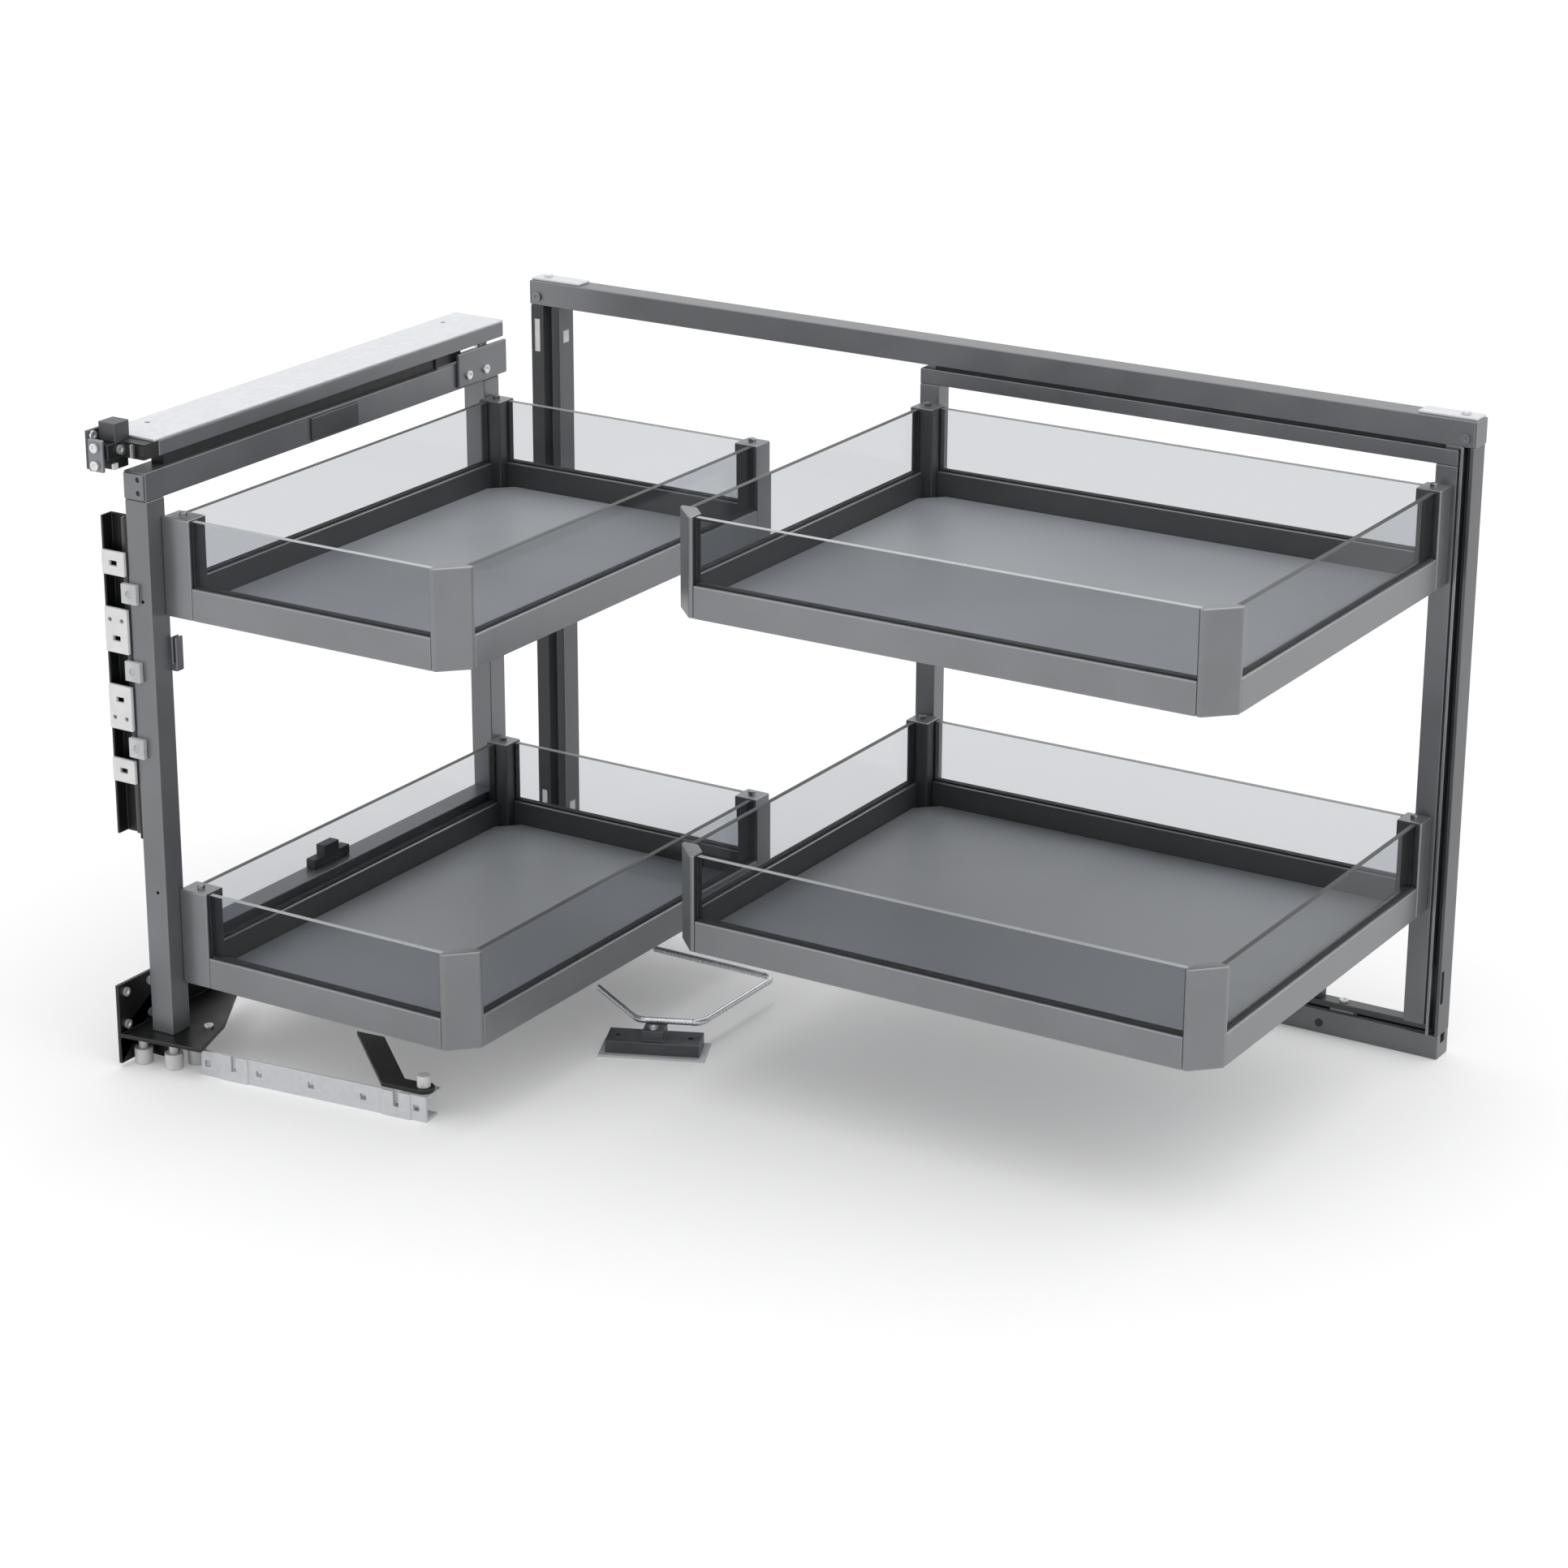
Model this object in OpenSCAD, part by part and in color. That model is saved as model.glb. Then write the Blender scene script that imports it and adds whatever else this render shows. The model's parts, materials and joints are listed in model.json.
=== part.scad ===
/* [Rear frame] */
// Width of the fixed rear frame
frame_w = 824; // [800:1:860]
// Height of the fixed rear frame
frame_h = 497; // [488:1:520]
// Depth of the rear frame profiles
frame_d = 20; // [18:0.5:24]
// Width of the left post
left_post_w = 28; // [26:0.5:34]
// Width of the right post
right_post_w = 10; // [9:0.5:14]
// Height of the top rail that the carriage rolls in
top_rail_h = 20; // [19:0.5:26]
// Height of the bottom rail that guides the carriage
bottom_rail_h = 19; // [17:0.5:24]
// Wall of the rolled rail profiles
rail_wall = 2; // [1.6:0.1:2.2]
// Width of the slot along the top and bottom rails
rail_slot = 8; // [7:0.5:9]
// Spacing of the screw holes in the bottom rail
floor_hole_spacing = 600; // [400:10:700]
// Radius of the wood screw holes
screw_hole_r = 2.25; // [1.75:0.05:2.5]

/* [Carriage] */
// Width of the sliding carriage
carriage_w = 446; // [442:1:460]
// Depth of the carriage tubes
carriage_d = 16; // [14:0.5:18]
// Width of the carriage posts
carriage_post_w = 17; // [14:0.5:22]
// Height of the carriage top beam
carriage_beam_h = 12; // [10:0.5:16]
// Gap between the carriage and the top rail
carriage_top_gap = 3; // [2:0.5:4]
// Height of the flat bar at the foot of the carriage
foot_bar_h = 5; // [4:0.5:8]
// Radius of the carriage rollers
carriage_roller_r = 7; // [6:0.1:7.4]
// Distance of the rollers from the ends of the carriage
roller_inset = 83; // [40:1:120]

/* [Trays] */
// Height of the tray corner posts
tray_h = 75; // [60:0.5:77]
// Height of the tray rim
rim_h = 24.5; // [20:0.5:32]
// Thickness of the tray rim
rim_t = 12; // [10.5:0.5:13]
// Chamfer of the tray corners that face the user
tray_chamfer = 18.6; // [14:0.2:24]
// Width and depth of the plain corner posts
plain_post = 20; // [18:0.5:23]
// Thickness of the tray glass
glass_t = 4; // [3:0.5:5]
// Thickness of the tray floor panel
panel_t = 4; // [3:0.5:6]
// Width of the rear trays
rear_tray_w = 440; // [420:1:446]
// Depth of the rear trays
rear_tray_d = 362; // [300:1:380]
// Height of the upper rear tray above the floor
rear_upper_z = 373; // [330:1:380]
// Height of the lower rear tray above the floor
rear_lower_z = 118.5; // [80:0.5:160]
// Width of the front trays
front_tray_w = 260; // [220:1:265]
// Depth of the front trays
front_tray_d = 409; // [405:1:420]
// Height of the upper front tray above the floor
front_upper_z = 352; // [340:1:354]
// Height of the lower front tray above the floor
front_lower_z = 65; // [50:0.5:120]

/* [Front frame] */
// Width of the square front frame tube
tube = 20; // [20:0.5:22]
// Wall of the front frame tube
tube_wall = 1.6; // [1.2:0.1:2.4]
// Height of the front frame top above the floor
front_top = 462; // [460:0.5:463]
// Height of the front frame top beam
front_beam_h = 21.5; // [20:0.5:23]
// Radius of the swing pin
swing_pin_r = 5; // [4:0.1:5.2]
// Width of the fixed top rail that the front frame runs on
front_rail_w = 22; // [21.5:0.5:26]
// Height of the fixed top rail
front_rail_h = 11.5; // [11:0.5:13]
// Spacing of the screw holes in the rail mounting plate
plate_hole_spacing = 360; // [300:5:400]

/* [Floor fittings] */
// Length of the floor strip
strip_l = 194; // [188:1:206]
// Height of the floor strip
strip_h = 20; // [18:0.5:22]
// Thickness of the floor strip
strip_t = 2.5; // [2:0.1:3]
// Length of the arm of the strip lever
lever_l = 98; // [80:1:110]
// Width of the strip lever
lever_w = 18; // [15:0.5:20]
// Diameter of the bent wire
wire_d = 5; // [4:0.1:6]

/* [Hidden] */
$fn = 48;

// Colours
anthracite = [0.33, 0.33, 0.35];
dark_grey = [0.2, 0.2, 0.21];
black = [0.07, 0.07, 0.07];
zinc = [0.75, 0.76, 0.77];
white = [0.93, 0.93, 0.92];
steel = [0.6, 0.6, 0.61];
smoked = [0.6, 0.63, 0.65, 0.4];

// Clearances
running_gap = 0.3;
pin_clearance = 0.05;
seat_clearance = 0.02;
glass_clearance = 0.2;
over = 1;

// Screw heads
screw_head_r = 3.5;
screw_head_h = 2;
screw_recess = 0.8;

// Rear frame places
frame_x0 = -frame_w / 2;
frame_x1 = frame_w / 2;
frame_front = -frame_d / 2;
top_rail_z = frame_h - top_rail_h;
bottom_slot_depth = 8;
post_groove_w = 8;
post_groove_depth = 14;
left_groove_x = 12;
right_groove_x = 2;
right_groove_w = 5;
right_groove_depth = 8;
tall_slot = [5, 27];
small_slot = [8, 10];
slot_end_inset = 25;
fixing_plate = [46, 16, 2];
corner_screw_inset = 7;

// Carriage places
carriage_side_gap = 2;
carriage_x1 = frame_x1 - right_post_w - carriage_side_gap;
carriage_x0 = carriage_x1 - carriage_w;
carriage_z1 = top_rail_z - carriage_top_gap;
foot_gap = 2;
foot_z = bottom_rail_h + foot_gap;
carriage_post_z0 = foot_z + foot_bar_h;
carriage_post_z1 = carriage_z1 - carriage_beam_h;
foot_bar_d = 12;
hanger_w = 14;
hanger_t = 3;
hanger_top = 5;
roller_axle_r = 2.5;
roller_disc_in = 2;
roller_disc_out = frame_d / 2 - rail_wall - over;
roller_z = top_rail_z + rail_wall + running_gap + carriage_roller_r;
roller_x = [carriage_x0 + roller_inset, carriage_x1 - roller_inset];
guide_l = 20;
guide_inset = 60;
guide_drop = 6;
guide_x = [carriage_x0 + guide_inset, carriage_x1 - guide_inset - guide_l];
stop_inset = 97;
stop_size = [10, 10, 8];

// Front frame places
front_inset = 10;
front_setback = 88;
front_x0 = frame_x0 + front_inset;
front_x1 = front_x0 + tube;
front_y1 = frame_front - front_setback;
front_tray_front_gap = 15;
front_tray_back_gap = 8;
front_frame_d = front_tray_d + front_tray_front_gap + front_tray_back_gap;
front_y0 = front_y1 - front_frame_d;
front_bottom = 27;
rear_post_bottom = 64;
front_beam_z = front_top - front_beam_h;
beam_solid_l = 40;
pivot_x = front_x0 + tube / 2;
pivot_y = front_y1 - tube / 2;
joint_plate_at = 190;
joint_plate_size = [2, 57];
face_margin = 2;
pivot_plate_t = 3;
pivot_plate_y = [-57, 7];
pivot_screw_y = [-45, -22];
post_hole_z = [140, 365];
post_hole_x = 12;
post_hole_r = 1.5;
hook_at = [19, 309];
hook_size = [5, 8, 26];
hook_leaf = 1.5;
hook_base = 6;
cap_t = 2;
cap_margin = 1;
cap_hole_r = 2.2;
cap_hole_x = 4.5;
cap_hole_z = [6.5, 16.5];
lower_beam_z = 75;
lower_beam_h = 22;
catch_at = [2, 186];
catch_foot = [9, 44, 8];
catch_head = [9, 18, 16];

// Fixed top rail, trolley and wall fittings
rail_lift = 9.5;
rail_back = 6;
rail_front_gap = 16;
front_rail_z = front_top + rail_lift;
front_rail_y1 = front_y1 + rail_back;
front_rail_y0 = front_y0 + rail_front_gap;
front_rail_l = front_rail_y1 - front_rail_y0;
front_rail_slot = 11;
front_rail_x0 = pivot_x - front_rail_w / 2;
front_rail_x1 = pivot_x + front_rail_w / 2;
rail_cavity_h = front_rail_h - 2 * rail_wall;
axle_r = rail_cavity_h / 2 - running_gap;
axle_z = front_rail_z + rail_wall + rail_cavity_h / 2;
axle_pitch = 10.5;
axle_shaft_r = 1.5;
axle_disc_in = 5.7;
axle_disc_out = front_rail_w / 2 - rail_wall - running_gap;
trolley_half_l = 16;
trolley_half_w = 5;
trolley_gap = 0.6;
trolley_z0 = front_rail_z + rail_wall + trolley_gap;
trolley_z1 = front_rail_z + front_rail_h - rail_wall - trolley_gap;
spigot_r = 3;
collar_gap = 0.5;
collar_r = tube / 2 - tube_wall - collar_gap;
collar_h = 4;
plate_t = 2;
plate_left = 25;
plate_z = front_rail_z + front_rail_h;
bracket_l = 30;
bracket_lap = 24;
bracket_left = 18;
bracket_y0 = front_rail_y0 - bracket_l;
wall_plate_t = 3;
wall_plate_l = 24;
wall_plate_x1 = front_rail_x0 - bracket_left;
wall_plate_top = 8;
plate_y0 = bracket_y0 + wall_plate_l + over;
lug_lift = 0.5;
lug_z = front_top + lug_lift;
lug_size = [16, 16];
lug_front = 8;
adjusting_plate_x = 2;
adjusting_plate_size = [13, 3, 24];
adjusting_screw_z = [5, 18];
block_x = 3;
block_size = [15, 16, 14];
bracket_screw_at = [12, 6];
wall_screw_at = [4.5, 4];

// Door fixing places
channel_w = 24;
channel_d = 12;
channel_wall = 2;
channel_bottom = 180;
channel_h = 245;
clip_t = 3;
clip_w = 21;
clip_slot = [7, 4];
clip_slot_drop = 6;
clip_hole_lift = 8;
clip_hole_r = 1.75;
clip_hole_pitch = 11;
short_clip_h = 18;
long_clip_h = 34;
clip_z = [232, 281, 340, 391];
adjuster_z = [252, 311, 370];
adjuster_size = [14, 4, 15];
adjuster_x = 5;
adjuster_dimple = [3, 1.5];

// Lower bracket and glides, placed from the front left corner of the front frame
sheet_t = 3;
bracket_plate_z = front_bottom - sheet_t;
side_plate_x0 = front_x0 - 18;
side_plate_y0 = front_y0 - 19;
side_outline = [[0, 3], [49, 3], [49, 24], [150, 24], [150, 38], [70, 66], [0, 66]];
side_screw_y = [8, 35];
side_screw_z = [33, 59];
base_outline = [[0, 0], [72, 10], [57, 56], [14, 130], [0, 130]];
glide_plate_y = 27;
glide_plate_z = 3;
glide_plate_l = 24;
base_screw_at = [50, 46];
glide_r = 7;
glide_h = 12;
glide_floor_gap = 0.5;
glide_at = [[10, 17], [36, 21], [45, 37]];

// Floor strip and lever, placed from the middle of the strip's front face
strip_inset = 150.5;
strip_back = 12.3;
strip_turn = 5.8;
strip_foot = 16;
strip_square = 5;
strip_square_pitch = 45;
strip_square_shift = -1.5;
strip_screw_spacing = 96;
strip_screw_y = 9.5;
strip_lug = [21, 22];
strip_notch_at = [-68, 72];
strip_notch = [4.5, 12];
strip_pad = [24, 1.2];
lever_t = 3;
lever_turn = 132;
lever_boss_r = 8;
lever_foot = [7, 22, 14];
stud_inset = 8;
stud_back = 11;
stud_x = strip_l / 2 - stud_inset;
stud_r = 4;
stud_foot = [6, 3];
stud_head = [5, 9];

// Floor bracket and bent wire
wire_bracket_at = [-96.5, -310.5];
wire_bracket_turn = 24;
wire_bar_turn = 90;
wire_bracket_size = [72, 26, 12];
wire_bracket_pcd = 56;
wire_block_size = [16, 22, 8];
wire_block_y = -9;
wire_block_z = wire_bracket_size.z + wire_block_size.z;
wire_block_screw_y = -4;
wire_groove = 1;
wire_y = 9;
wire_z = wire_block_z - wire_groove + wire_d / 2;
wire_bend_r = 10;
wire_swell = 0.15;
wire_overlap = 0.5;
wire_left_run = 9;
wire_left_turn = 55;
wire_left_end = 64;
wire_right_run = 28;
wire_side_run = 88;
wire_bar_run = 101;

// Tray places
post_leg = 4;
glass_in = 4;
glass_seat = 4;
glass_top_gap = 1;
ledge_t = 2;
ledge_w = plain_post - rim_t - over;
panel_gap = 0.4;
front_left_post_w = 25;
chamfer_post = tray_chamfer + post_leg;
post_pin_r = 3;
post_pin_h = 3;
rear_tray_x = carriage_x0 + (carriage_w - rear_tray_w) / 2;
rear_tray_y = frame_front - rear_tray_d;
front_tray_y = front_y1 - front_tray_back_gap - front_tray_d;

// A box between two corners
module box(a, b) {
  translate(a)
    cube(b - a);
}

// A rolled rail with a slot along its underside, drawn along the X axis
module slotted_rail(length, width, height, slot) {
  difference() {
    box([0, -width / 2, 0], [length, width / 2, height]);
    box([-over, rail_wall - width / 2, rail_wall],
        [length + over, width / 2 - rail_wall, height - rail_wall]);
    box([-over, -slot / 2, -over], [length + over, slot / 2, height / 2]);
  }
}

// A square tube standing on the floor plane
module upright_tube(width, depth, z0, z1) {
  difference() {
    box([0, 0, z0], [width, depth, z1]);
    box([tube_wall, tube_wall, z0 - over], [width - tube_wall, depth - tube_wall, z1 + over]);
  }
}

// A screw head standing on the floor plane
module screw_head() {
  difference() {
    cylinder(r = screw_head_r, h = screw_head_h);
    translate([0, 0, screw_head_h - screw_recess])
      cylinder(r = screw_head_r / 2, h = over, $fn = 6);
  }
}

// Rear frame
module rear_top_rail() {
  color(anthracite)
    translate([frame_x0, 0, top_rail_z])
      slotted_rail(frame_w, frame_d, top_rail_h, rail_slot);
}

module rear_bottom_rail() {
  color(anthracite)
    difference() {
      box([frame_x0, frame_front, 0], [frame_x1, -frame_front, bottom_rail_h]);
      box([frame_x0 - over, -rail_slot / 2, bottom_rail_h - bottom_slot_depth],
          [frame_x1 + over, rail_slot / 2, bottom_rail_h + over]);
      for (side = [-1, 1])
        translate([side * floor_hole_spacing / 2, 0, -over])
          cylinder(r = screw_hole_r, h = bottom_rail_h);
    }
}

module rear_left_post() {
  groove_x = frame_x0 + left_groove_x;
  inner = frame_x0 + left_post_w;
  color(anthracite)
    difference() {
      box([frame_x0, frame_front, bottom_rail_h], [inner, -frame_front, top_rail_z]);
      box([groove_x, frame_front - over, bottom_rail_h - over],
          [groove_x + post_groove_w, frame_front + post_groove_depth, top_rail_z + over]);
      for (z = [bottom_rail_h + slot_end_inset, top_rail_z - slot_end_inset]) {
        translate([frame_x0 + left_groove_x / 2 - tall_slot.x / 2, -frame_d, z - tall_slot.y / 2])
          cube([tall_slot.x, 2 * frame_d, tall_slot.y]);
        translate([groove_x + post_groove_w - over, -small_slot.x / 2, z - small_slot.y / 2])
          cube([left_post_w, small_slot.x, small_slot.y]);
      }
    }
}

module rear_right_post() {
  inner = frame_x1 - right_post_w;
  color(anthracite)
    difference() {
      box([inner, frame_front, bottom_rail_h], [frame_x1, -frame_front, top_rail_z]);
      box([inner + right_groove_x, frame_front - over, bottom_rail_h - over],
          [inner + right_groove_x + right_groove_w, frame_front + right_groove_depth, top_rail_z + over]);
      translate([inner + right_groove_x + right_groove_w - over, frame_front + over,
                 bottom_rail_h + slot_end_inset])
        cube([right_post_w, tall_slot.x, tall_slot.y]);
    }
}

module top_fixing_plates() {
  color(zinc)
    for (x = [frame_x0, frame_x1 - fixing_plate.x])
      translate([x, -fixing_plate.y / 2, frame_h])
        cube(fixing_plate);
}

module fixing_screws() {
  color(white) {
    for (side = [-1, 1])
      translate([side * (frame_x1 - fixing_plate.x / 4), 0, frame_h + fixing_plate.z])
        screw_head();
    for (side = [-1, 1])
      translate([side * (frame_x1 - corner_screw_inset), frame_front, top_rail_z + corner_screw_inset])
        rotate([90, 0, 0])
          screw_head();
    for (z = adjusting_screw_z)
      translate([wall_plate_x1 + adjusting_plate_x + adjusting_plate_size.x / 2,
                 bracket_y0 - adjusting_plate_size.y, lug_z + z])
        rotate([90, 0, 0])
          screw_head();
    translate([front_rail_x0, bracket_y0 + bracket_screw_at.x, front_rail_z + bracket_screw_at.y])
      rotate([0, 90, 0])
        screw_head();
    translate([wall_plate_x1, bracket_y0 + wall_screw_at.x, plate_z + wall_screw_at[1]])
      rotate([0, 90, 0])
        screw_head();
    at_wire_bracket()
      translate([0, wire_block_screw_y, wire_block_z])
        screw_head();
  }
}

// Fixed top rail and the fittings at its front end
module front_top_rail() {
  color(anthracite)
    translate([pivot_x, front_rail_y0, front_rail_z])
      rotate([0, 0, 90])
        slotted_rail(front_rail_l, front_rail_w, front_rail_h, front_rail_slot);
}

module rail_mounting_plate() {
  mid_y = (plate_y0 + front_rail_y1) / 2;
  color(zinc)
    difference() {
      box([front_rail_x0 - plate_left, plate_y0, plate_z],
          [front_rail_x1, front_rail_y1, plate_z + plate_t]);
      for (side = [-1, 1])
        translate([front_rail_x0 - plate_left / 2, mid_y + side * plate_hole_spacing / 2, plate_z - over])
          cylinder(r = screw_hole_r, h = plate_t + 2 * over);
    }
}

module rail_front_bracket() {
  lug_y = bracket_y0 + lug_front;
  color(black) {
    box([wall_plate_x1, bracket_y0, front_rail_z], [front_rail_x0, front_rail_y0 + bracket_lap, plate_z]);
    box([wall_plate_x1, lug_y, lug_z],
        [wall_plate_x1 + lug_size.x, lug_y + lug_size.y, front_rail_z + over]);
  }
}

module wall_plate() {
  color(dark_grey)
    box([wall_plate_x1 - wall_plate_t, bracket_y0, lug_z],
        [wall_plate_x1, bracket_y0 + wall_plate_l, plate_z + wall_plate_top]);
}

module adjusting_plate() {
  color(anthracite)
    translate([wall_plate_x1 + adjusting_plate_x, bracket_y0 - adjusting_plate_size.y, lug_z])
      cube(adjusting_plate_size);
}

module bracket_block() {
  color(dark_grey)
    translate([wall_plate_x1 + block_x, bracket_y0 + lug_front, plate_z])
      cube(block_size);
}

// Floor strip with its lever
module at_strip() {
  translate([frame_x0 + strip_inset, front_y0 + strip_back, 0])
    rotate([0, 0, strip_turn])
      children();
}

module floor_strip() {
  half = strip_l / 2;
  color(zinc)
    at_strip()
      difference() {
        union() {
          box([-half, 0, 0], [half, strip_t, strip_h]);
          box([-half, 0, 0], [half, strip_foot, strip_t]);
          box([half - strip_lug.x, 0, strip_h - strip_t], [half, strip_lug.y, strip_h]);
          for (x = strip_notch_at)
            box([x - strip_pad.x / 2, -strip_pad.y, 0], [x + strip_pad.x / 2, strip_t, strip_h]);
        }
        for (i = [-2:2])
          translate([i * strip_square_pitch + strip_square_shift - strip_square / 2, -strip_t,
                     strip_h / 2 - strip_square / 2])
            cube([strip_square, 2 * strip_t + over, strip_square]);
        for (x = strip_notch_at)
          translate([x - strip_notch.x / 2, -strip_t, strip_h - strip_notch.y])
            cube([strip_notch.x, 2 * strip_t + over, strip_notch.y + over]);
        for (side = [-1, 1])
          translate([side * strip_screw_spacing / 2, strip_screw_y, -over])
            cylinder(r = screw_hole_r, h = strip_t + 2 * over);
        translate([stud_x, stud_back, strip_h / 2])
          cylinder(r = stud_r + seat_clearance, h = strip_h);
      }
}

module lever_stud() {
  lug_under = strip_h - strip_t;
  head_z = strip_h + lever_t + 2 * running_gap;
  color(white)
    at_strip()
      translate([stud_x, stud_back, lug_under - stud_foot[1]]) {
        cylinder(r = stud_foot[0], h = stud_foot[1]);
        cylinder(r = stud_r, h = head_z - lug_under + stud_foot[1] + over);
        translate([0, 0, head_z - lug_under + stud_foot[1]])
          cylinder(r = stud_head[0], h = stud_head[1]);
      }
}

// The arm slants away from a foot that turns on the stud
module strip_lever() {
  near = -lever_boss_r;
  arm_w = lever_w / sin(lever_turn);
  reach = lever_l * [cos(lever_turn), sin(lever_turn)];
  right = [-lever_foot.x, near];
  left = right - [arm_w, 0];
  color(black)
    at_strip()
      translate([stud_x, stud_back, strip_h + running_gap])
        difference() {
          union() {
            cylinder(r = lever_boss_r, h = lever_t);
            translate([-lever_foot.y, near, 0])
              cube([lever_foot.y, lever_foot.z, lever_t]);
            linear_extrude(lever_t)
              polygon([left, right, right + reach, left + reach]);
          }
          translate([0, 0, -over])
            cylinder(r = stud_r + pin_clearance, h = lever_t + 2 * over);
        }
}

// Floor bracket and the bent wire that lies in its groove
module at_wire_bracket() {
  translate([wire_bracket_at.x, wire_bracket_at.y, 0])
    rotate([0, 0, wire_bracket_turn])
      children();
}

module floor_bracket() {
  color(dark_grey)
    at_wire_bracket()
      difference() {
        union() {
          translate([-wire_bracket_size.x / 2, -wire_bracket_size.y / 2, 0])
            cube(wire_bracket_size);
          translate([-wire_block_size.x / 2, wire_block_y, wire_bracket_size.z - over])
            cube([wire_block_size.x, wire_block_size.y, wire_block_size.z + over]);
        }
        translate([-wire_block_size.x, wire_y - wire_d / 2 - glass_clearance, wire_block_z - wire_groove])
          cube([2 * wire_block_size.x, wire_d + 2 * glass_clearance, wire_d]);
        for (side = [-1, 1])
          translate([side * wire_bracket_pcd / 2, 0, -over])
            cylinder(r = screw_hole_r, h = wire_bracket_size.z + 2 * over);
      }
}

// A straight run of wire along the X axis, with its ends inside the fuller bends
module wire_run(length) {
  translate([-wire_overlap, 0, 0])
    rotate([0, 90, 0])
      cylinder(r = wire_d / 2, h = length + 2 * wire_overlap);
}

// A bend to the left that starts along the X axis, with what follows it
module wire_bend(turn) {
  translate([0, wire_bend_r, 0])
    rotate([0, 0, -90])
      rotate_extrude(angle = turn)
        translate([wire_bend_r, 0])
          circle(r = wire_d / 2 + wire_swell);
  translate([wire_bend_r * sin(turn), wire_bend_r * (1 - cos(turn)), 0])
    rotate([0, 0, turn])
      children();
}

module bent_wire() {
  color(steel)
    at_wire_bracket()
      translate([0, wire_y, wire_z]) {
        translate([-wire_left_run, 0, 0])
          wire_run(wire_left_run + wire_right_run);
        translate([wire_right_run, 0, 0])
          wire_bend(90 - wire_bracket_turn) {
            wire_run(wire_side_run);
            translate([wire_side_run, 0, 0])
              wire_bend(wire_bar_turn)
                wire_run(wire_bar_run);
          }
        translate([-wire_left_run, 0, 0])
          mirror([1, 0, 0])
            wire_bend(wire_left_turn)
              wire_run(wire_left_end);
      }
}

// Trolley that runs in the fixed top rail
module trolley() {
  color(white)
    difference() {
      box([pivot_x - trolley_half_w, pivot_y - trolley_half_l, trolley_z0],
          [pivot_x + trolley_half_w, pivot_y + trolley_half_l, trolley_z1]);
      translate([pivot_x, pivot_y, trolley_z0 - over])
        cylinder(r = spigot_r + seat_clearance, h = trolley_z1 - trolley_z0 + 2 * over);
      for (side = [-1, 1])
        translate([pivot_x - front_rail_w, pivot_y + side * axle_pitch, axle_z])
          rotate([0, 90, 0])
            cylinder(r = axle_shaft_r + pin_clearance, h = 2 * front_rail_w);
    }
}

module trolley_axle(side) {
  color(white)
    translate([pivot_x, pivot_y + side * axle_pitch, axle_z])
      rotate([0, 90, 0]) {
        translate([0, 0, -axle_disc_out])
          cylinder(r = axle_shaft_r, h = 2 * axle_disc_out);
        for (z = [-axle_disc_out, axle_disc_in])
          translate([0, 0, z])
            cylinder(r = axle_r, h = axle_disc_out - axle_disc_in);
      }
}

module trolley_axle_front() {
  trolley_axle(-1);
}

module trolley_axle_rear() {
  trolley_axle(1);
}

module swing_pin() {
  collar_z = front_beam_z - running_gap - collar_h;
  color(steel)
    translate([pivot_x, pivot_y, collar_z]) {
      cylinder(r = collar_r, h = collar_h);
      cylinder(r = swing_pin_r, h = trolley_z0 - collar_z);
      cylinder(r = spigot_r, h = trolley_z1 - collar_z);
    }
}

// Front frame
module front_post() {
  color(anthracite)
    translate([front_x0, front_y0, 0])
      difference() {
        upright_tube(tube, tube, front_bottom, front_beam_z);
        for (z = post_hole_z)
          translate([post_hole_x, -over, z])
            rotate([-90, 0, 0])
              cylinder(r = post_hole_r, h = tube_wall + 2 * over);
      }
}

module front_rear_post() {
  color(anthracite)
    translate([front_x0, front_y1 - tube, 0])
      upright_tube(tube, tube, rear_post_bottom, front_beam_z);
}

module front_top_beam() {
  color(anthracite)
    difference() {
      box([front_x0, front_y0, front_beam_z], [front_x1, front_y1, front_top]);
      box([front_x0 + tube_wall, front_y0 + tube_wall, front_beam_z + tube_wall],
          [front_x1 - tube_wall, front_y1 - beam_solid_l, front_top - tube_wall]);
      translate([pivot_x, pivot_y, front_beam_z - over])
        cylinder(r = swing_pin_r + pin_clearance, h = front_beam_h + 2 * over);
    }
}

module beam_joint_plate() {
  y = front_y0 + joint_plate_at;
  color(dark_grey)
    box([front_x1, y, front_beam_z + face_margin],
        [front_x1 + joint_plate_size.x, y + joint_plate_size.y, front_top - face_margin]);
}

module pivot_plate() {
  color(anthracite)
    box([front_x1, front_y1 + pivot_plate_y[0], front_beam_z + face_margin],
        [front_x1 + pivot_plate_t, front_y1 + pivot_plate_y[1], front_rail_z - face_margin]);
}

module front_frame_screws() {
  color(white) {
    for (y = pivot_screw_y)
      translate([front_x1 + pivot_plate_t, front_y1 + y, front_beam_z + front_beam_h / 2])
        rotate([0, 90, 0])
          screw_head();
    for (y = side_screw_y, z = side_screw_z)
      translate([side_plate_x0 + sheet_t, side_plate_y0 + y, z])
        rotate([0, 90, 0])
          screw_head();
    translate([side_plate_x0 + base_screw_at.x, side_plate_y0 + base_screw_at.y, front_bottom])
      screw_head();
  }
}

module post_hook() {
  y = front_y0 + hook_at.x;
  z = hook_at[1];
  color(dark_grey)
    difference() {
      translate([front_x1, y, z])
        cube(hook_size);
      box([front_x1 + hook_leaf, y - over, z + hook_base],
          [front_x1 + hook_size.x - hook_leaf, y + hook_size.y + over, z + hook_size.z + over]);
    }
}

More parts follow.
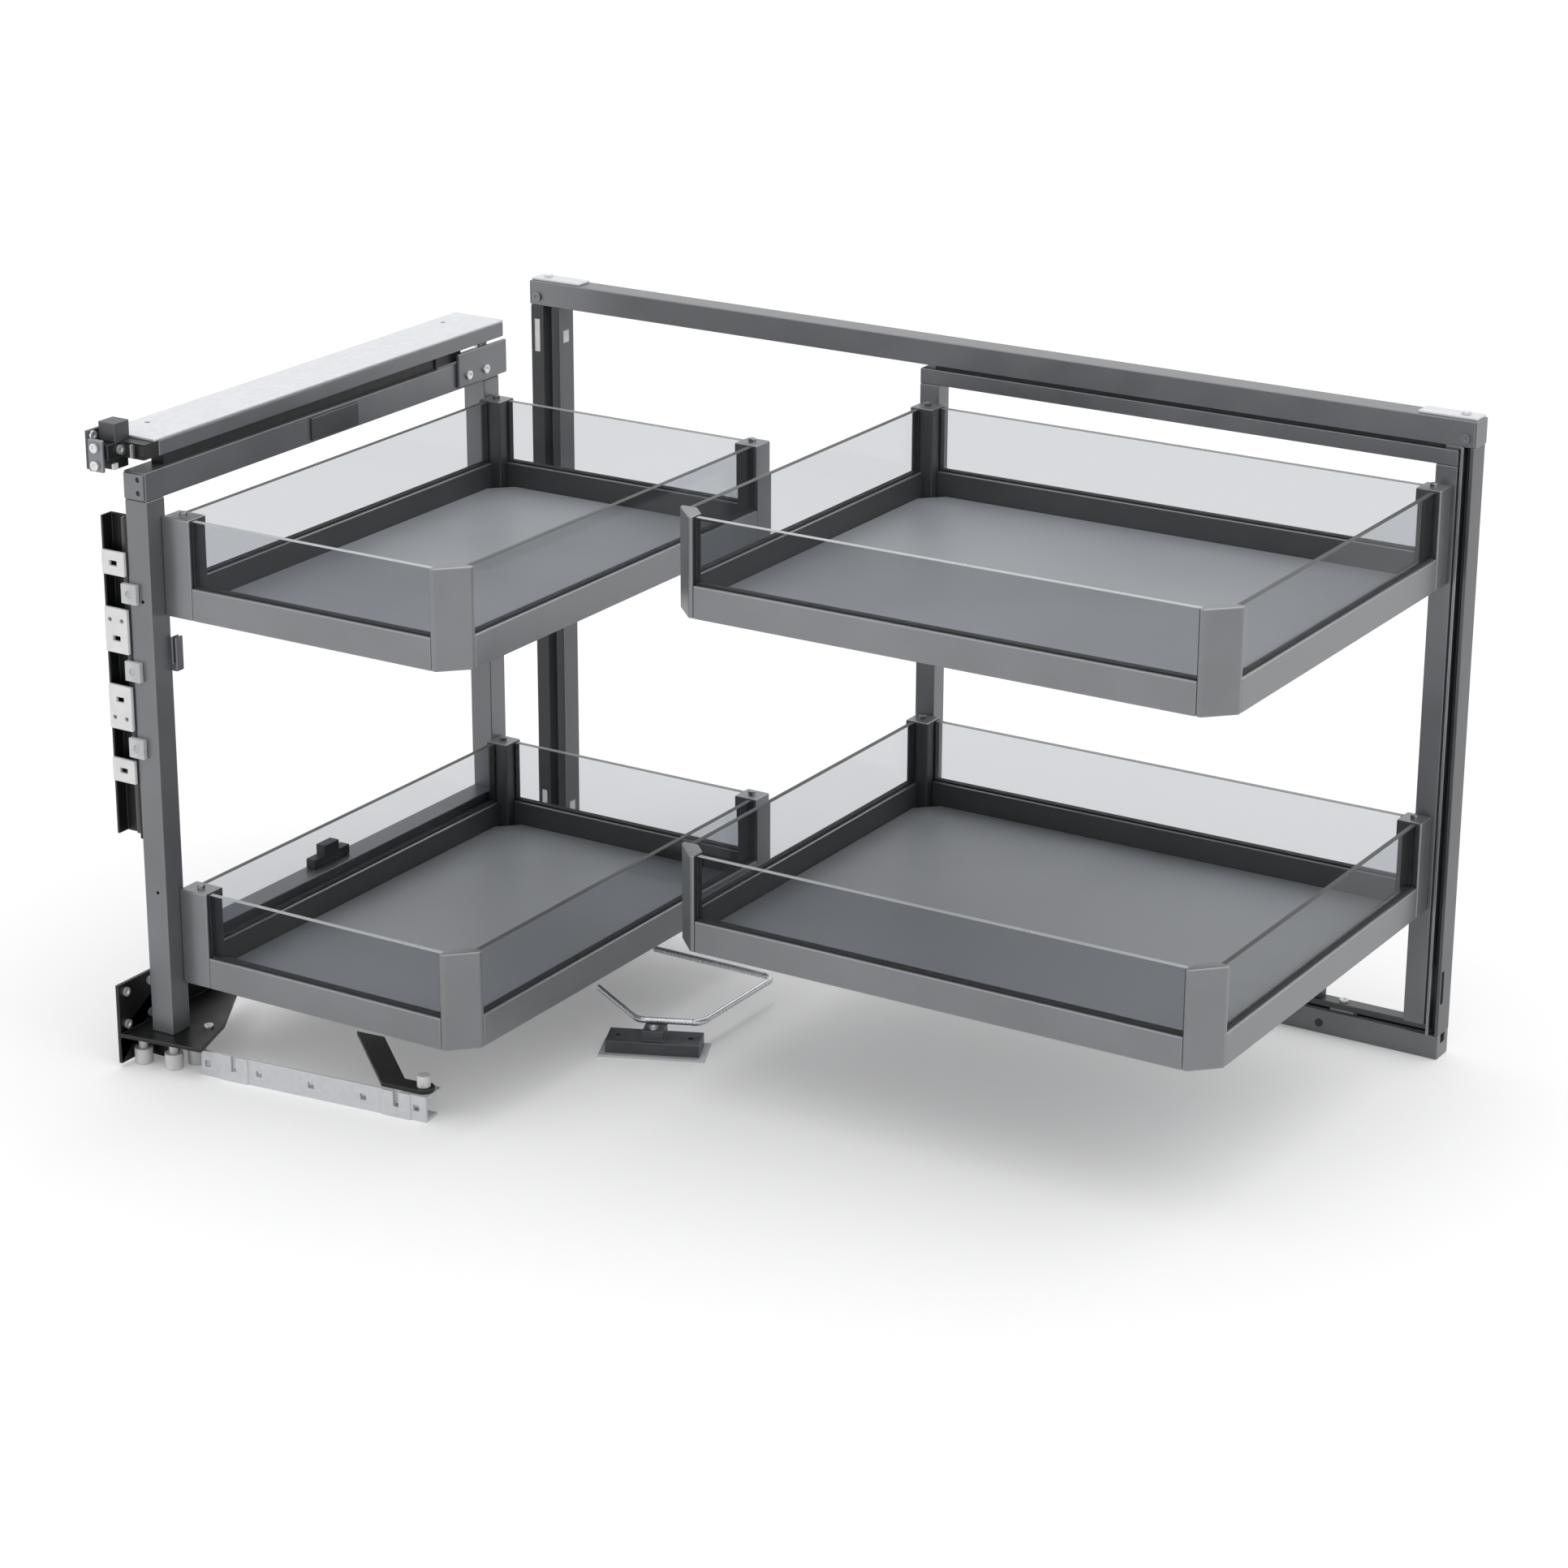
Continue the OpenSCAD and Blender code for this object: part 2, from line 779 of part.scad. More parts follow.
module beam_end_cap() {
  color(anthracite)
    difference() {
      box([front_x0 + cap_margin, front_y0 - cap_t, front_beam_z + cap_margin],
          [front_x1 - cap_margin, front_y0, front_top - cap_margin]);
      for (z = cap_hole_z)
        translate([pivot_x + cap_hole_x, front_y0 + over, front_beam_z + z])
          rotate([90, 0, 0])
            cylinder(r = cap_hole_r, h = cap_t + 2 * over);
    }
}

module door_channel() {
  x0 = front_x0 - channel_w;
  color(black)
    difference() {
      translate([x0, front_y0, channel_bottom])
        cube([channel_w, channel_d, channel_h]);
      translate([x0 + channel_wall, front_y0 - over, channel_bottom - over])
        cube([channel_w - 2 * channel_wall, channel_d - channel_wall + over, channel_h + 2 * over]);
    }
}

module door_clip(z, height, hole_side) {
  translate([front_x0 - channel_w / 2, front_y0, z])
    rotate([90, 0, 0])
      difference() {
        translate([-clip_w / 2, -height / 2, 0])
          cube([clip_w, height, clip_t]);
        translate([-clip_slot.x / 2, -hole_side * clip_slot_drop - clip_slot.y / 2, -over])
          cube([clip_slot.x, clip_slot.y, clip_t + 2 * over]);
        if (hole_side != 0)
          for (side = [-1, 1])
            translate([side * clip_hole_pitch / 2, hole_side * clip_hole_lift, -over])
              cylinder(r = clip_hole_r, h = clip_t + 2 * over);
      }
}

module door_clips() {
  color(white) {
    door_clip(clip_z[0], short_clip_h, 0);
    door_clip(clip_z[1], long_clip_h, -1);
    door_clip(clip_z[2], long_clip_h, 1);
    door_clip(clip_z[3], short_clip_h, 0);
  }
}

module door_adjusters() {
  color(white)
    for (z = adjuster_z)
      translate([front_x0 - adjuster_x, front_y0 - adjuster_size.y, z - adjuster_size.z / 2])
        difference() {
          cube(adjuster_size);
          translate([adjuster_size.x / 2, -over, adjuster_size.z / 2])
            rotate([-90, 0, 0])
              cylinder(r = adjuster_dimple[0], h = adjuster_dimple[1] + over);
        }
}

module lower_bracket() {
  color(black) {
    translate([side_plate_x0, side_plate_y0, 0])
      rotate([90, 0, 90])
        linear_extrude(sheet_t)
          polygon(side_outline);
    translate([side_plate_x0, side_plate_y0 + glide_plate_y, glide_plate_z])
      cube([sheet_t + glide_plate_l, sheet_t, front_bottom - glide_plate_z]);
    translate([side_plate_x0, side_plate_y0, bracket_plate_z])
      linear_extrude(sheet_t)
        polygon(base_outline);
  }
}

module floor_glides() {
  color(white)
    for (at = glide_at)
      translate([side_plate_x0 + at.x, side_plate_y0 + at.y, glide_floor_gap]) {
        cylinder(r = glide_r, h = glide_h);
        cylinder(r = glide_r / 2, h = bracket_plate_z - glide_floor_gap);
      }
}

module front_lower_beam() {
  y0 = front_y0 + tube;
  length = front_frame_d - 2 * tube;
  color(anthracite)
    translate([front_x0, y0, lower_beam_z])
      difference() {
        cube([tube, length, lower_beam_h]);
        translate([tube_wall, -over, tube_wall])
          cube([tube - 2 * tube_wall, length + 2 * over, lower_beam_h - 2 * tube_wall]);
      }
}

module closer_catch() {
  color(black)
    translate([front_x0 + catch_at.x, front_y0 + catch_at.y, lower_beam_z + lower_beam_h]) {
      cube(catch_foot);
      translate([0, (catch_foot.y - catch_head.y) / 2, 0])
        cube(catch_head);
    }
}

// Carriage
module carriage_top_beam() {
  color(anthracite)
    difference() {
      union() {
        box([carriage_x0, frame_front, carriage_post_z1],
            [carriage_x1, frame_front + carriage_d, carriage_z1]);
        for (x = roller_x)
          box([x - hanger_w / 2, -hanger_t / 2, carriage_z1 - over],
              [x + hanger_w / 2, hanger_t / 2, roller_z + hanger_top]);
      }
      for (x = roller_x)
        translate([x, frame_d, roller_z])
          rotate([90, 0, 0])
            cylinder(r = roller_axle_r + pin_clearance, h = 2 * frame_d);
    }
}

module carriage_post(x) {
  color(anthracite)
    translate([x, frame_front, 0])
      upright_tube(carriage_post_w, carriage_d, carriage_post_z0, carriage_post_z1);
}

module carriage_left_post() {
  carriage_post(carriage_x0);
}

module carriage_right_post() {
  carriage_post(carriage_x1 - carriage_post_w);
}

module carriage_foot_bar() {
  color(dark_grey)
    box([carriage_x0, -foot_bar_d / 2, foot_z], [carriage_x1, foot_bar_d / 2, carriage_post_z0]);
}

module carriage_guides() {
  half = rail_slot / 2 - running_gap;
  color(white)
    for (x = guide_x) {
      box([x, -half, bottom_rail_h - guide_drop], [x + guide_l, half, foot_z]);
      translate([x + guide_l / 2, 0, carriage_post_z0])
        screw_head();
    }
}

module carriage_stop() {
  color(black)
    translate([carriage_x1 - stop_inset, -stop_size.y / 2, carriage_post_z0])
      cube(stop_size);
}

module carriage_roller(x) {
  color(white)
    translate([x, 0, roller_z])
      rotate([90, 0, 0]) {
        translate([0, 0, -roller_disc_out])
          cylinder(r = roller_axle_r, h = 2 * roller_disc_out);
        for (z = [-roller_disc_out, roller_disc_in])
          translate([0, 0, z])
            cylinder(r = carriage_roller_r, h = roller_disc_out - roller_disc_in);
      }
}

module carriage_roller_left() {
  carriage_roller(roller_x[0]);
}

module carriage_roller_right() {
  carriage_roller(roller_x[1]);
}

// Trays: each tray stands at its left front corner. A corner holds the lengths that its post takes from
// the two sides, and whether the post is chamfered,
// in the order front left, front right, rear right, rear left
chamfered = [chamfer_post, chamfer_post, true];
plain = [plain_post, plain_post, false];
rear_cut = [chamfered, chamfered, plain, plain];
front_cut = [[front_left_post_w, plain_post, false], chamfered, plain, plain];

// One straight side of the rim from a to b along the X axis, with the ledge on the +Y side
module rim_side(a, b) {
  difference() {
    union() {
      box([a, 0, 0], [b, rim_t, rim_h]);
      box([a, 0, 0], [b, rim_t + ledge_w, ledge_t]);
    }
    box([a - over, glass_in - glass_clearance, rim_h - glass_seat],
        [b + over, glass_in + glass_t + glass_clearance, rim_h + over]);
  }
}

// One pane of glass from a to b along the X axis
module pane(a, b) {
  box([a + glass_clearance, glass_in, rim_h - glass_seat],
      [b - glass_clearance, glass_in + glass_t, tray_h - glass_top_gap]);
}

// The four sides of a tray, each turned to its own edge
module front_side(w, d) {
  children();
}

module right_side(w, d) {
  translate([w, 0, 0])
    rotate([0, 0, 90])
      children();
}

module back_side(w, d) {
  translate([w, d, 0])
    rotate([0, 0, 180])
      children();
}

module left_side(w, d) {
  translate([0, d, 0])
    rotate([0, 0, 270])
      children();
}

module tray_rim(w, d, cut) {
  front_side(w, d) rim_side(cut[0].x, w - cut[1].x);
  right_side(w, d) rim_side(cut[1].y, d - cut[2].y);
  back_side(w, d) rim_side(cut[2].x, w - cut[3].x);
  left_side(w, d) rim_side(cut[3].y, d - cut[0].y);
}

module tray_glass(w, d, cut) {
  front_side(w, d) pane(cut[0].x, w - cut[1].x);
  right_side(w, d) pane(cut[1].y, d - cut[2].y);
  back_side(w, d) pane(cut[2].x, w - cut[3].x);
  left_side(w, d) pane(cut[3].y, d - cut[0].y);
}

// The floor panel keeps clear of the corner posts
function panel_cut(c) = panel_gap + (c[2] ? chamfer_post - rim_t : c.x + c.y - 2 * rim_t);

module tray_panel(w, d, cut) {
  a = rim_t + panel_gap;
  q = [for (c = cut) panel_cut(c)];
  translate([0, 0, ledge_t])
    linear_extrude(panel_t)
      polygon([
        [a, a + q[0]], [a + q[0], a], [w - a - q[1], a], [w - a, a + q[1]],
        [w - a, d - a - q[2]], [w - a - q[2], d - a], [a + q[3], d - a], [a, d - a - q[3]]
      ]);
}

// A chamfered corner post at the origin, with its legs along +X and +Y
module chamfered_corner() {
  linear_extrude(tray_h)
    polygon([
      [tray_chamfer, 0], [chamfer_post, 0], [chamfer_post, rim_t],
      [rim_t, chamfer_post], [0, chamfer_post], [0, tray_chamfer]
    ]);
}

// A plain corner post at the origin with a rounded pin on top
module plain_corner(size) {
  cube([size.x, size.y, tray_h]);
  translate([size.x / 2, size.y / 2, tray_h - over])
    cylinder(r = post_pin_r, h = post_pin_h + over);
}

module tray_corner(size) {
  if (size[2]) chamfered_corner();
  else plain_corner(size);
}

module tray_corners(w, d, cut) {
  tray_corner(cut[0]);
  translate([w, 0, 0])
    mirror([1, 0, 0])
      tray_corner(cut[1]);
  translate([w, d, 0])
    rotate([0, 0, 180])
      tray_corner(cut[2]);
  translate([0, d, 0])
    mirror([0, 1, 0])
      tray_corner(cut[3]);
}

module at_rear_tray(z) {
  translate([rear_tray_x, rear_tray_y, z])
    children();
}

module at_front_tray(z) {
  translate([front_x1, front_tray_y, z])
    children();
}

module front_upper_rim() {
  color(anthracite) at_front_tray(front_upper_z) tray_rim(front_tray_w, front_tray_d, front_cut);
}

module front_upper_panel() {
  color(anthracite) at_front_tray(front_upper_z) tray_panel(front_tray_w, front_tray_d, front_cut);
}

module front_upper_corners() {
  color(anthracite) at_front_tray(front_upper_z) tray_corners(front_tray_w, front_tray_d, front_cut);
}

module front_upper_glass() {
  color(smoked) at_front_tray(front_upper_z) tray_glass(front_tray_w, front_tray_d, front_cut);
}

module front_lower_rim() {
  color(anthracite) at_front_tray(front_lower_z) tray_rim(front_tray_w, front_tray_d, front_cut);
}

module front_lower_panel() {
  color(anthracite) at_front_tray(front_lower_z) tray_panel(front_tray_w, front_tray_d, front_cut);
}

module front_lower_corners() {
  color(anthracite) at_front_tray(front_lower_z) tray_corners(front_tray_w, front_tray_d, front_cut);
}

module front_lower_glass() {
  color(smoked) at_front_tray(front_lower_z) tray_glass(front_tray_w, front_tray_d, front_cut);
}

module rear_upper_rim() {
  color(anthracite) at_rear_tray(rear_upper_z) tray_rim(rear_tray_w, rear_tray_d, rear_cut);
}

module rear_upper_panel() {
  color(anthracite) at_rear_tray(rear_upper_z) tray_panel(rear_tray_w, rear_tray_d, rear_cut);
}

module rear_upper_corners() {
  color(anthracite) at_rear_tray(rear_upper_z) tray_corners(rear_tray_w, rear_tray_d, rear_cut);
}

module rear_upper_glass() {
  color(smoked) at_rear_tray(rear_upper_z) tray_glass(rear_tray_w, rear_tray_d, rear_cut);
}

module rear_lower_rim() {
  color(anthracite) at_rear_tray(rear_lower_z) tray_rim(rear_tray_w, rear_tray_d, rear_cut);
}

module rear_lower_panel() {
  color(anthracite) at_rear_tray(rear_lower_z) tray_panel(rear_tray_w, rear_tray_d, rear_cut);
}

module rear_lower_corners() {
  color(anthracite) at_rear_tray(rear_lower_z) tray_corners(rear_tray_w, rear_tray_d, rear_cut);
}

module rear_lower_glass() {
  color(smoked) at_rear_tray(rear_lower_z) tray_glass(rear_tray_w, rear_tray_d, rear_cut);
}

rear_top_rail();
rear_bottom_rail();
rear_left_post();
rear_right_post();
top_fixing_plates();
fixing_screws();
front_top_rail();
rail_mounting_plate();
rail_front_bracket();
wall_plate();
adjusting_plate();
bracket_block();
floor_strip();
lever_stud();
strip_lever();
floor_bracket();
bent_wire();
trolley();
trolley_axle_front();
trolley_axle_rear();
swing_pin();
front_post();
front_rear_post();
front_top_beam();
beam_joint_plate();
pivot_plate();
front_frame_screws();
post_hook();
beam_end_cap();
door_channel();
door_clips();
door_adjusters();
lower_bracket();
floor_glides();
front_lower_beam();
closer_catch();
carriage_top_beam();
carriage_left_post();
carriage_right_post();
carriage_foot_bar();
carriage_guides();
carriage_stop();
carriage_roller_left();
carriage_roller_right();
front_upper_rim();
front_upper_panel();
front_upper_corners();
front_upper_glass();
front_lower_rim();
front_lower_panel();
front_lower_corners();
front_lower_glass();
rear_upper_rim();
rear_upper_panel();
rear_upper_corners();
rear_upper_glass();
rear_lower_rim();
rear_lower_panel();
rear_lower_corners();
rear_lower_glass();
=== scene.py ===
import json
import math

import bpy
from mathutils import Matrix, Vector


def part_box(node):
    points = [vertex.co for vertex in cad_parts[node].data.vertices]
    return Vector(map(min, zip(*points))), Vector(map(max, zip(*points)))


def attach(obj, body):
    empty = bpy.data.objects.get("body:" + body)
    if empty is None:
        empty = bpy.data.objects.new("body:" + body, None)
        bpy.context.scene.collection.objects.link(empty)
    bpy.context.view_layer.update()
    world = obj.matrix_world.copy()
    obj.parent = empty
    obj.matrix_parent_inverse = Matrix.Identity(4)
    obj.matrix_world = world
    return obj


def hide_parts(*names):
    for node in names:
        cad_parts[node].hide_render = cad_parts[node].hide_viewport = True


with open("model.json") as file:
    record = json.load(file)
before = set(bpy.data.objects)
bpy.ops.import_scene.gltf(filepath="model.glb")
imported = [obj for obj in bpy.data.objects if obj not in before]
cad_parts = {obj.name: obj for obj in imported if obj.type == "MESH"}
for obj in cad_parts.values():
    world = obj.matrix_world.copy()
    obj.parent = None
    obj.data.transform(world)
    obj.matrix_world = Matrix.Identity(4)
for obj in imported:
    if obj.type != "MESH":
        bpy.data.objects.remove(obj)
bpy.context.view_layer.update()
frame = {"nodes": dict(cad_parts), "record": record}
record = frame["record"]
bodyOf = {node: body for body, members in record["behaviour"]["bodies"].items() for node in members}
slotOf = {part["node"]: part["material_slot"] for part in record["subparts"]}
print("frame loaded:", len(frame["nodes"]), "nodes")


# camera: places in metres, angles in degrees, lens and sensor in millimetres
cameraSettings = {"place": (1.5039, -2.7138, 1.2672), "yaw": 31.73, "pitch": 20.02, "roll": 0.217,
                  "lens": 95.3, "sensor": 36, "reach": 100}


def addCamera(settings):
    yaw, pitch, roll = (math.radians(settings[key]) for key in ("yaw", "pitch", "roll"))
    back = Vector((math.sin(yaw) * math.cos(pitch), -math.cos(yaw) * math.cos(pitch), math.sin(pitch)))
    level = Vector((math.cos(yaw), math.sin(yaw), 0))
    up = back.cross(level)
    right = math.cos(roll) * level + math.sin(roll) * up
    up = back.cross(right)
    data = bpy.data.cameras.new("photoCamera")
    data.sensor_width = settings["sensor"]
    data.lens = settings["lens"]
    data.clip_end = settings["reach"]
    camera = bpy.data.objects.new("photoCamera", data)
    bpy.context.scene.collection.objects.link(camera)
    turn = Matrix((right, up, back)).transposed().to_4x4()
    camera.matrix_world = Matrix.Translation(settings["place"]) @ turn
    bpy.context.scene.camera = camera


addCamera(cameraSettings)
bpy.context.scene.view_settings.view_transform = "Standard"
print("camera placed")


# shared by the materials: where noise lies, how edges are found, depth of bumps in metres, lean of greys
shadeSettings = {"noiseSpan": (0.3, 0.7), "edgeSpan": (1.0, 0.8), "edgeSamples": 4, "bumpDepth": 0.0002,
                 "greenShare": 0.4}


def startMaterial(name):
    material = bpy.data.materials.new(name)
    material.use_nodes = True
    tree = material.node_tree
    shader = tree.nodes["Principled BSDF"]
    coords = tree.nodes.new("ShaderNodeTexCoord")
    return material, tree, shader, coords


def addNoise(tree, coords, scale, detail, stretch=None):
    noise = tree.nodes.new("ShaderNodeTexNoise")
    noise.inputs["Scale"].default_value = scale
    noise.inputs["Detail"].default_value = detail
    place = coords.outputs["Object"]
    if stretch:
        mapping = tree.nodes.new("ShaderNodeMapping")
        mapping.inputs["Scale"].default_value = stretch
        tree.links.new(place, mapping.inputs["Vector"])
        place = mapping.outputs["Vector"]
    tree.links.new(place, noise.inputs["Vector"])
    return noise.outputs["Fac"]


def addCells(tree, coords, scale):
    cells = tree.nodes.new("ShaderNodeTexVoronoi")
    cells.inputs["Scale"].default_value = scale
    tree.links.new(coords.outputs["Object"], cells.inputs["Vector"])
    return cells


# spreads a value from one span over another
def addSpread(tree, value, span, low, high):
    spread = tree.nodes.new("ShaderNodeMapRange")
    spread.inputs["From Min"].default_value = span[0]
    spread.inputs["From Max"].default_value = span[1]
    spread.inputs["To Min"].default_value = low
    spread.inputs["To Max"].default_value = high
    tree.links.new(value, spread.inputs["Value"])
    return spread.outputs["Result"]


def spreadNoise(tree, noise, low, high):
    return addSpread(tree, noise, shadeSettings["noiseSpan"], low, high)


def addMix(tree, factor, first, second):
    mix = tree.nodes.new("ShaderNodeMix")
    mix.data_type = "RGBA"
    tree.links.new(factor, mix.inputs["Factor"])
    for socket, colour in ((mix.inputs[6], first), (mix.inputs[7], second)):  # the node's two colours
        if isinstance(colour, tuple):
            socket.default_value = colour
        else:
            tree.links.new(colour, socket)
    return mix.outputs[2]


# a mask of the pale edges, from the rounded normal against the plain one: worn paint and a painted edge
# highlight
def addWornAndLitEdgeMask(tree, radius, wear):
    bevel = tree.nodes.new("ShaderNodeBevel")
    bevel.samples = shadeSettings["edgeSamples"]
    bevel.inputs["Radius"].default_value = radius
    geometry = tree.nodes.new("ShaderNodeNewGeometry")
    dot = tree.nodes.new("ShaderNodeVectorMath")
    dot.operation = "DOT_PRODUCT"
    tree.links.new(bevel.outputs["Normal"], dot.inputs[0])
    tree.links.new(geometry.outputs["Normal"], dot.inputs[1])
    return addSpread(tree, dot.outputs["Value"], shadeSettings["edgeSpan"], 0, wear)


def addBump(tree, shader, height, strength):
    bump = tree.nodes.new("ShaderNodeBump")
    bump.inputs["Strength"].default_value = strength
    bump.inputs["Distance"].default_value = shadeSettings["bumpDepth"]
    tree.links.new(height, bump.inputs["Height"])
    tree.links.new(bump.outputs["Normal"], shader.inputs["Normal"])


# a grey that leans to blue by the tint
def grey(value, tint):
    return (value, value * (1 + shadeSettings["greenShare"] * tint), value * (1 + tint), 1)


# a tone that drifts between a dark and a pale grey
def addTone(tree, noise, settings, tint):
    drift = spreadNoise(tree, noise, 0, 1)
    return addMix(tree, drift, grey(settings["dark"], tint), grey(settings["pale"], tint))


def linkGloss(tree, shader, noise, gloss):
    tree.links.new(spreadNoise(tree, noise, *gloss), shader.inputs["Roughness"])


# coated metal: a fine powder grain, cloudy tone, paler along the edges as wear and as a painted edge
# highlight
coatShared = {"cloudDetail": 4, "grainDetail": 2, "tint": 0.09, "speckGain": 1.5, "speckTint": 0.06,
              "edgeRadius": 0.0012, "edgeTint": 0.05}
# each coat's edge colour makes its rounded edges paler: worn paint and a painted edge highlight
coats = {
    "anthraciteCoat": {"dark": 0.16, "pale": 0.19, "edge": 0.42, "wear": 0.6, "cloud": 16, "grain": 2200,
                       "speck": 0.12, "gloss": (0.3, 0.4), "metal": 0.55, "bump": 0.1},
    "trayCoat": {"dark": 0.19, "pale": 0.225, "edge": 0.7, "wear": 0.9, "cloud": 14, "grain": 2200,
                 "speck": 0.12, "gloss": (0.28, 0.38), "metal": 0.55, "bump": 0.1},
    # painted shade for the rear posts
    "postCoat": {"dark": 0.092, "pale": 0.11, "edge": 0.5, "wear": 0.8, "cloud": 16, "grain": 2200,
                 "speck": 0.12, "gloss": (0.3, 0.4), "metal": 0.5, "bump": 0.1},
    # deep painted shade for the left post's front and the right post's hollow
    "channelCoat": {"dark": 0.035, "pale": 0.045, "edge": 0.25, "wear": 0.5, "cloud": 16, "grain": 2200,
                    "speck": 0.08, "gloss": (0.4, 0.55), "metal": 0.3, "bump": 0.1},
    # painted shade for the walls inside the trays
    "innerCoat": {"dark": 0.055, "pale": 0.07, "edge": 0.2, "wear": 0.4, "cloud": 14, "grain": 2200,
                  "speck": 0.08, "gloss": (0.4, 0.55), "metal": 0.3, "bump": 0.1},
    "darkCoat": {"dark": 0.06, "pale": 0.085, "edge": 0.3, "wear": 0.5, "cloud": 30, "grain": 2400,
                 "speck": 0.1, "gloss": (0.35, 0.5), "metal": 0.4, "bump": 0.12},
    "blackCoat": {"dark": 0.008, "pale": 0.015, "edge": 0.14, "wear": 0.5, "cloud": 40, "grain": 2400,
                  "speck": 0.06, "gloss": (0.3, 0.45), "metal": 0.3, "bump": 0.12},
}


def makeCoat(name, settings):
    material, tree, shader, coords = startMaterial(name)
    cloud = addNoise(tree, coords, settings["cloud"], coatShared["cloudDetail"])
    grain = addNoise(tree, coords, settings["grain"], coatShared["grainDetail"])
    tone = addTone(tree, cloud, settings, coatShared["tint"])
    specks = spreadNoise(tree, grain, 0, settings["speck"])
    speckTone = grey(settings["pale"] * coatShared["speckGain"], coatShared["speckTint"])
    speckled = addMix(tree, specks, tone, speckTone)
    # paler edges: worn paint and a painted highlight
    edges = addWornAndLitEdgeMask(tree, coatShared["edgeRadius"], settings["wear"])
    wornAndLit = addMix(tree, edges, speckled, grey(settings["edge"], coatShared["edgeTint"]))
    tree.links.new(wornAndLit, shader.inputs["Base Color"])
    linkGloss(tree, shader, cloud, settings["gloss"])
    shader.inputs["Metallic"].default_value = settings["metal"]
    addBump(tree, shader, grain, settings["bump"])
    return material


# plated sheet: crystal spangle with fine rolling lines
platedShared = {"lineScale": 60, "lineDetail": 3, "tint": 0.06, "edgeRadius": 0.0008, "wear": 0.5,
                "edgeTint": 0.03, "bump": 0.15}
plated = {
    "zincSheet": {"dark": 0.62, "pale": 0.69, "edge": 0.82, "spangle": 220, "lines": (2, 40, 40),
                  "gloss": (0.35, 0.5), "metal": 0.2},
    "brightSteel": {"dark": 0.62, "pale": 0.74, "edge": 0.9, "spangle": 900, "lines": (30, 30, 2),
                    "gloss": (0.18, 0.32), "metal": 0.6},
}


def makePlated(name, settings):
    material, tree, shader, coords = startMaterial(name)
    spangle = addCells(tree, coords, settings["spangle"])
    lines = addNoise(tree, coords, platedShared["lineScale"], platedShared["lineDetail"], settings["lines"])
    dark, pale = (grey(settings[key], platedShared["tint"]) for key in ("dark", "pale"))
    tone = addMix(tree, spangle.outputs["Color"], dark, pale)
    edges = addWornAndLitEdgeMask(tree, platedShared["edgeRadius"], platedShared["wear"])
    wornAndLit = addMix(tree, edges, tone, grey(settings["edge"], platedShared["edgeTint"]))
    tree.links.new(wornAndLit, shader.inputs["Base Color"])
    linkGloss(tree, shader, lines, settings["gloss"])
    shader.inputs["Metallic"].default_value = settings["metal"]
    addBump(tree, shader, lines, platedShared["bump"])
    return material


# moulded plastic and rubber: soft grain and slight mottling
mouldedShared = {"cloud": 90, "cloudDetail": 3, "grain": 2600, "grainDetail": 2, "tint": 0.0, "bump": 0.12}
moulded = {
    "whitePlastic": {"dark": 0.74, "pale": 0.82, "gloss": (0.35, 0.5)},
    "blackPlastic": {"dark": 0.014, "pale": 0.024, "gloss": (0.4, 0.55)},
    "sealRubber": {"dark": 0.01, "pale": 0.018, "gloss": (0.55, 0.7)},
}


def makeMoulded(name, settings):
    material, tree, shader, coords = startMaterial(name)
    cloud = addNoise(tree, coords, mouldedShared["cloud"], mouldedShared["cloudDetail"])
    grain = addNoise(tree, coords, mouldedShared["grain"], mouldedShared["grainDetail"])
    tree.links.new(addTone(tree, cloud, settings, mouldedShared["tint"]), shader.inputs["Base Color"])
    linkGloss(tree, shader, grain, settings["gloss"])
    addBump(tree, shader, grain, mouldedShared["bump"])
    return material


# coated board of the tray floors: fine leather-like grip texture
boards = {"trayFloor": {"dark": 0.25, "pale": 0.3, "tint": 0.12, "cloud": 7, "cloudDetail": 5, "grip": 1600,
                        "gloss": (0.36, 0.48), "bump": 0.1}}


def makeBoard(name, settings):
    material, tree, shader, coords = startMaterial(name)
    cloud = addNoise(tree, coords, settings["cloud"], settings["cloudDetail"])
    grip = addCells(tree, coords, settings["grip"])
    tree.links.new(addTone(tree, cloud, settings, settings["tint"]), shader.inputs["Base Color"])
    linkGloss(tree, shader, cloud, settings["gloss"])
    addBump(tree, shader, grip.outputs["Distance"], settings["bump"])
    return material


# lightly smoked glass, its ground edges with painted highlight and shade, and clear plastic, with faint
# wiping marks
glassShared = {"markScale": 14, "markDetail": 5, "markStretch": (1, 1, 3)}
glazing = {
    "smokedGlass": {"tint": (0.645, 0.66, 0.68, 1), "clear": 1.0, "gloss": (0.0, 0.03), "bend": 1.15},
    # ground pane edges: pale as a painted highlight in front, dark as painted shade at the back and along
    # the sides
    "paneEdge": {"tint": (0.6, 0.62, 0.62, 1), "clear": 0.35, "gloss": (0.25, 0.4), "bend": 1.45},
    "backPaneEdge": {"tint": (0.25, 0.26, 0.26, 1), "clear": 0.35, "gloss": (0.3, 0.45), "bend": 1.4},
    "sidePaneEdge": {"tint": (0.1, 0.105, 0.105, 1), "clear": 0.35, "gloss": (0.3, 0.45), "bend": 1.3},
    "clearPlastic": {"tint": (0.88, 0.89, 0.9, 1), "clear": 0.4, "gloss": (0.15, 0.3), "bend": 1.45},
}


def makeGlass(name, settings):
    material, tree, shader, coords = startMaterial(name)
    shader.inputs["Base Color"].default_value = settings["tint"]
    shader.inputs["Transmission Weight"].default_value = settings["clear"]
    shader.inputs["IOR"].default_value = settings["bend"]
    marks = addNoise(tree, coords, glassShared["markScale"], glassShared["markDetail"],
                     glassShared["markStretch"])
    linkGloss(tree, shader, marks, settings["gloss"])
    return material


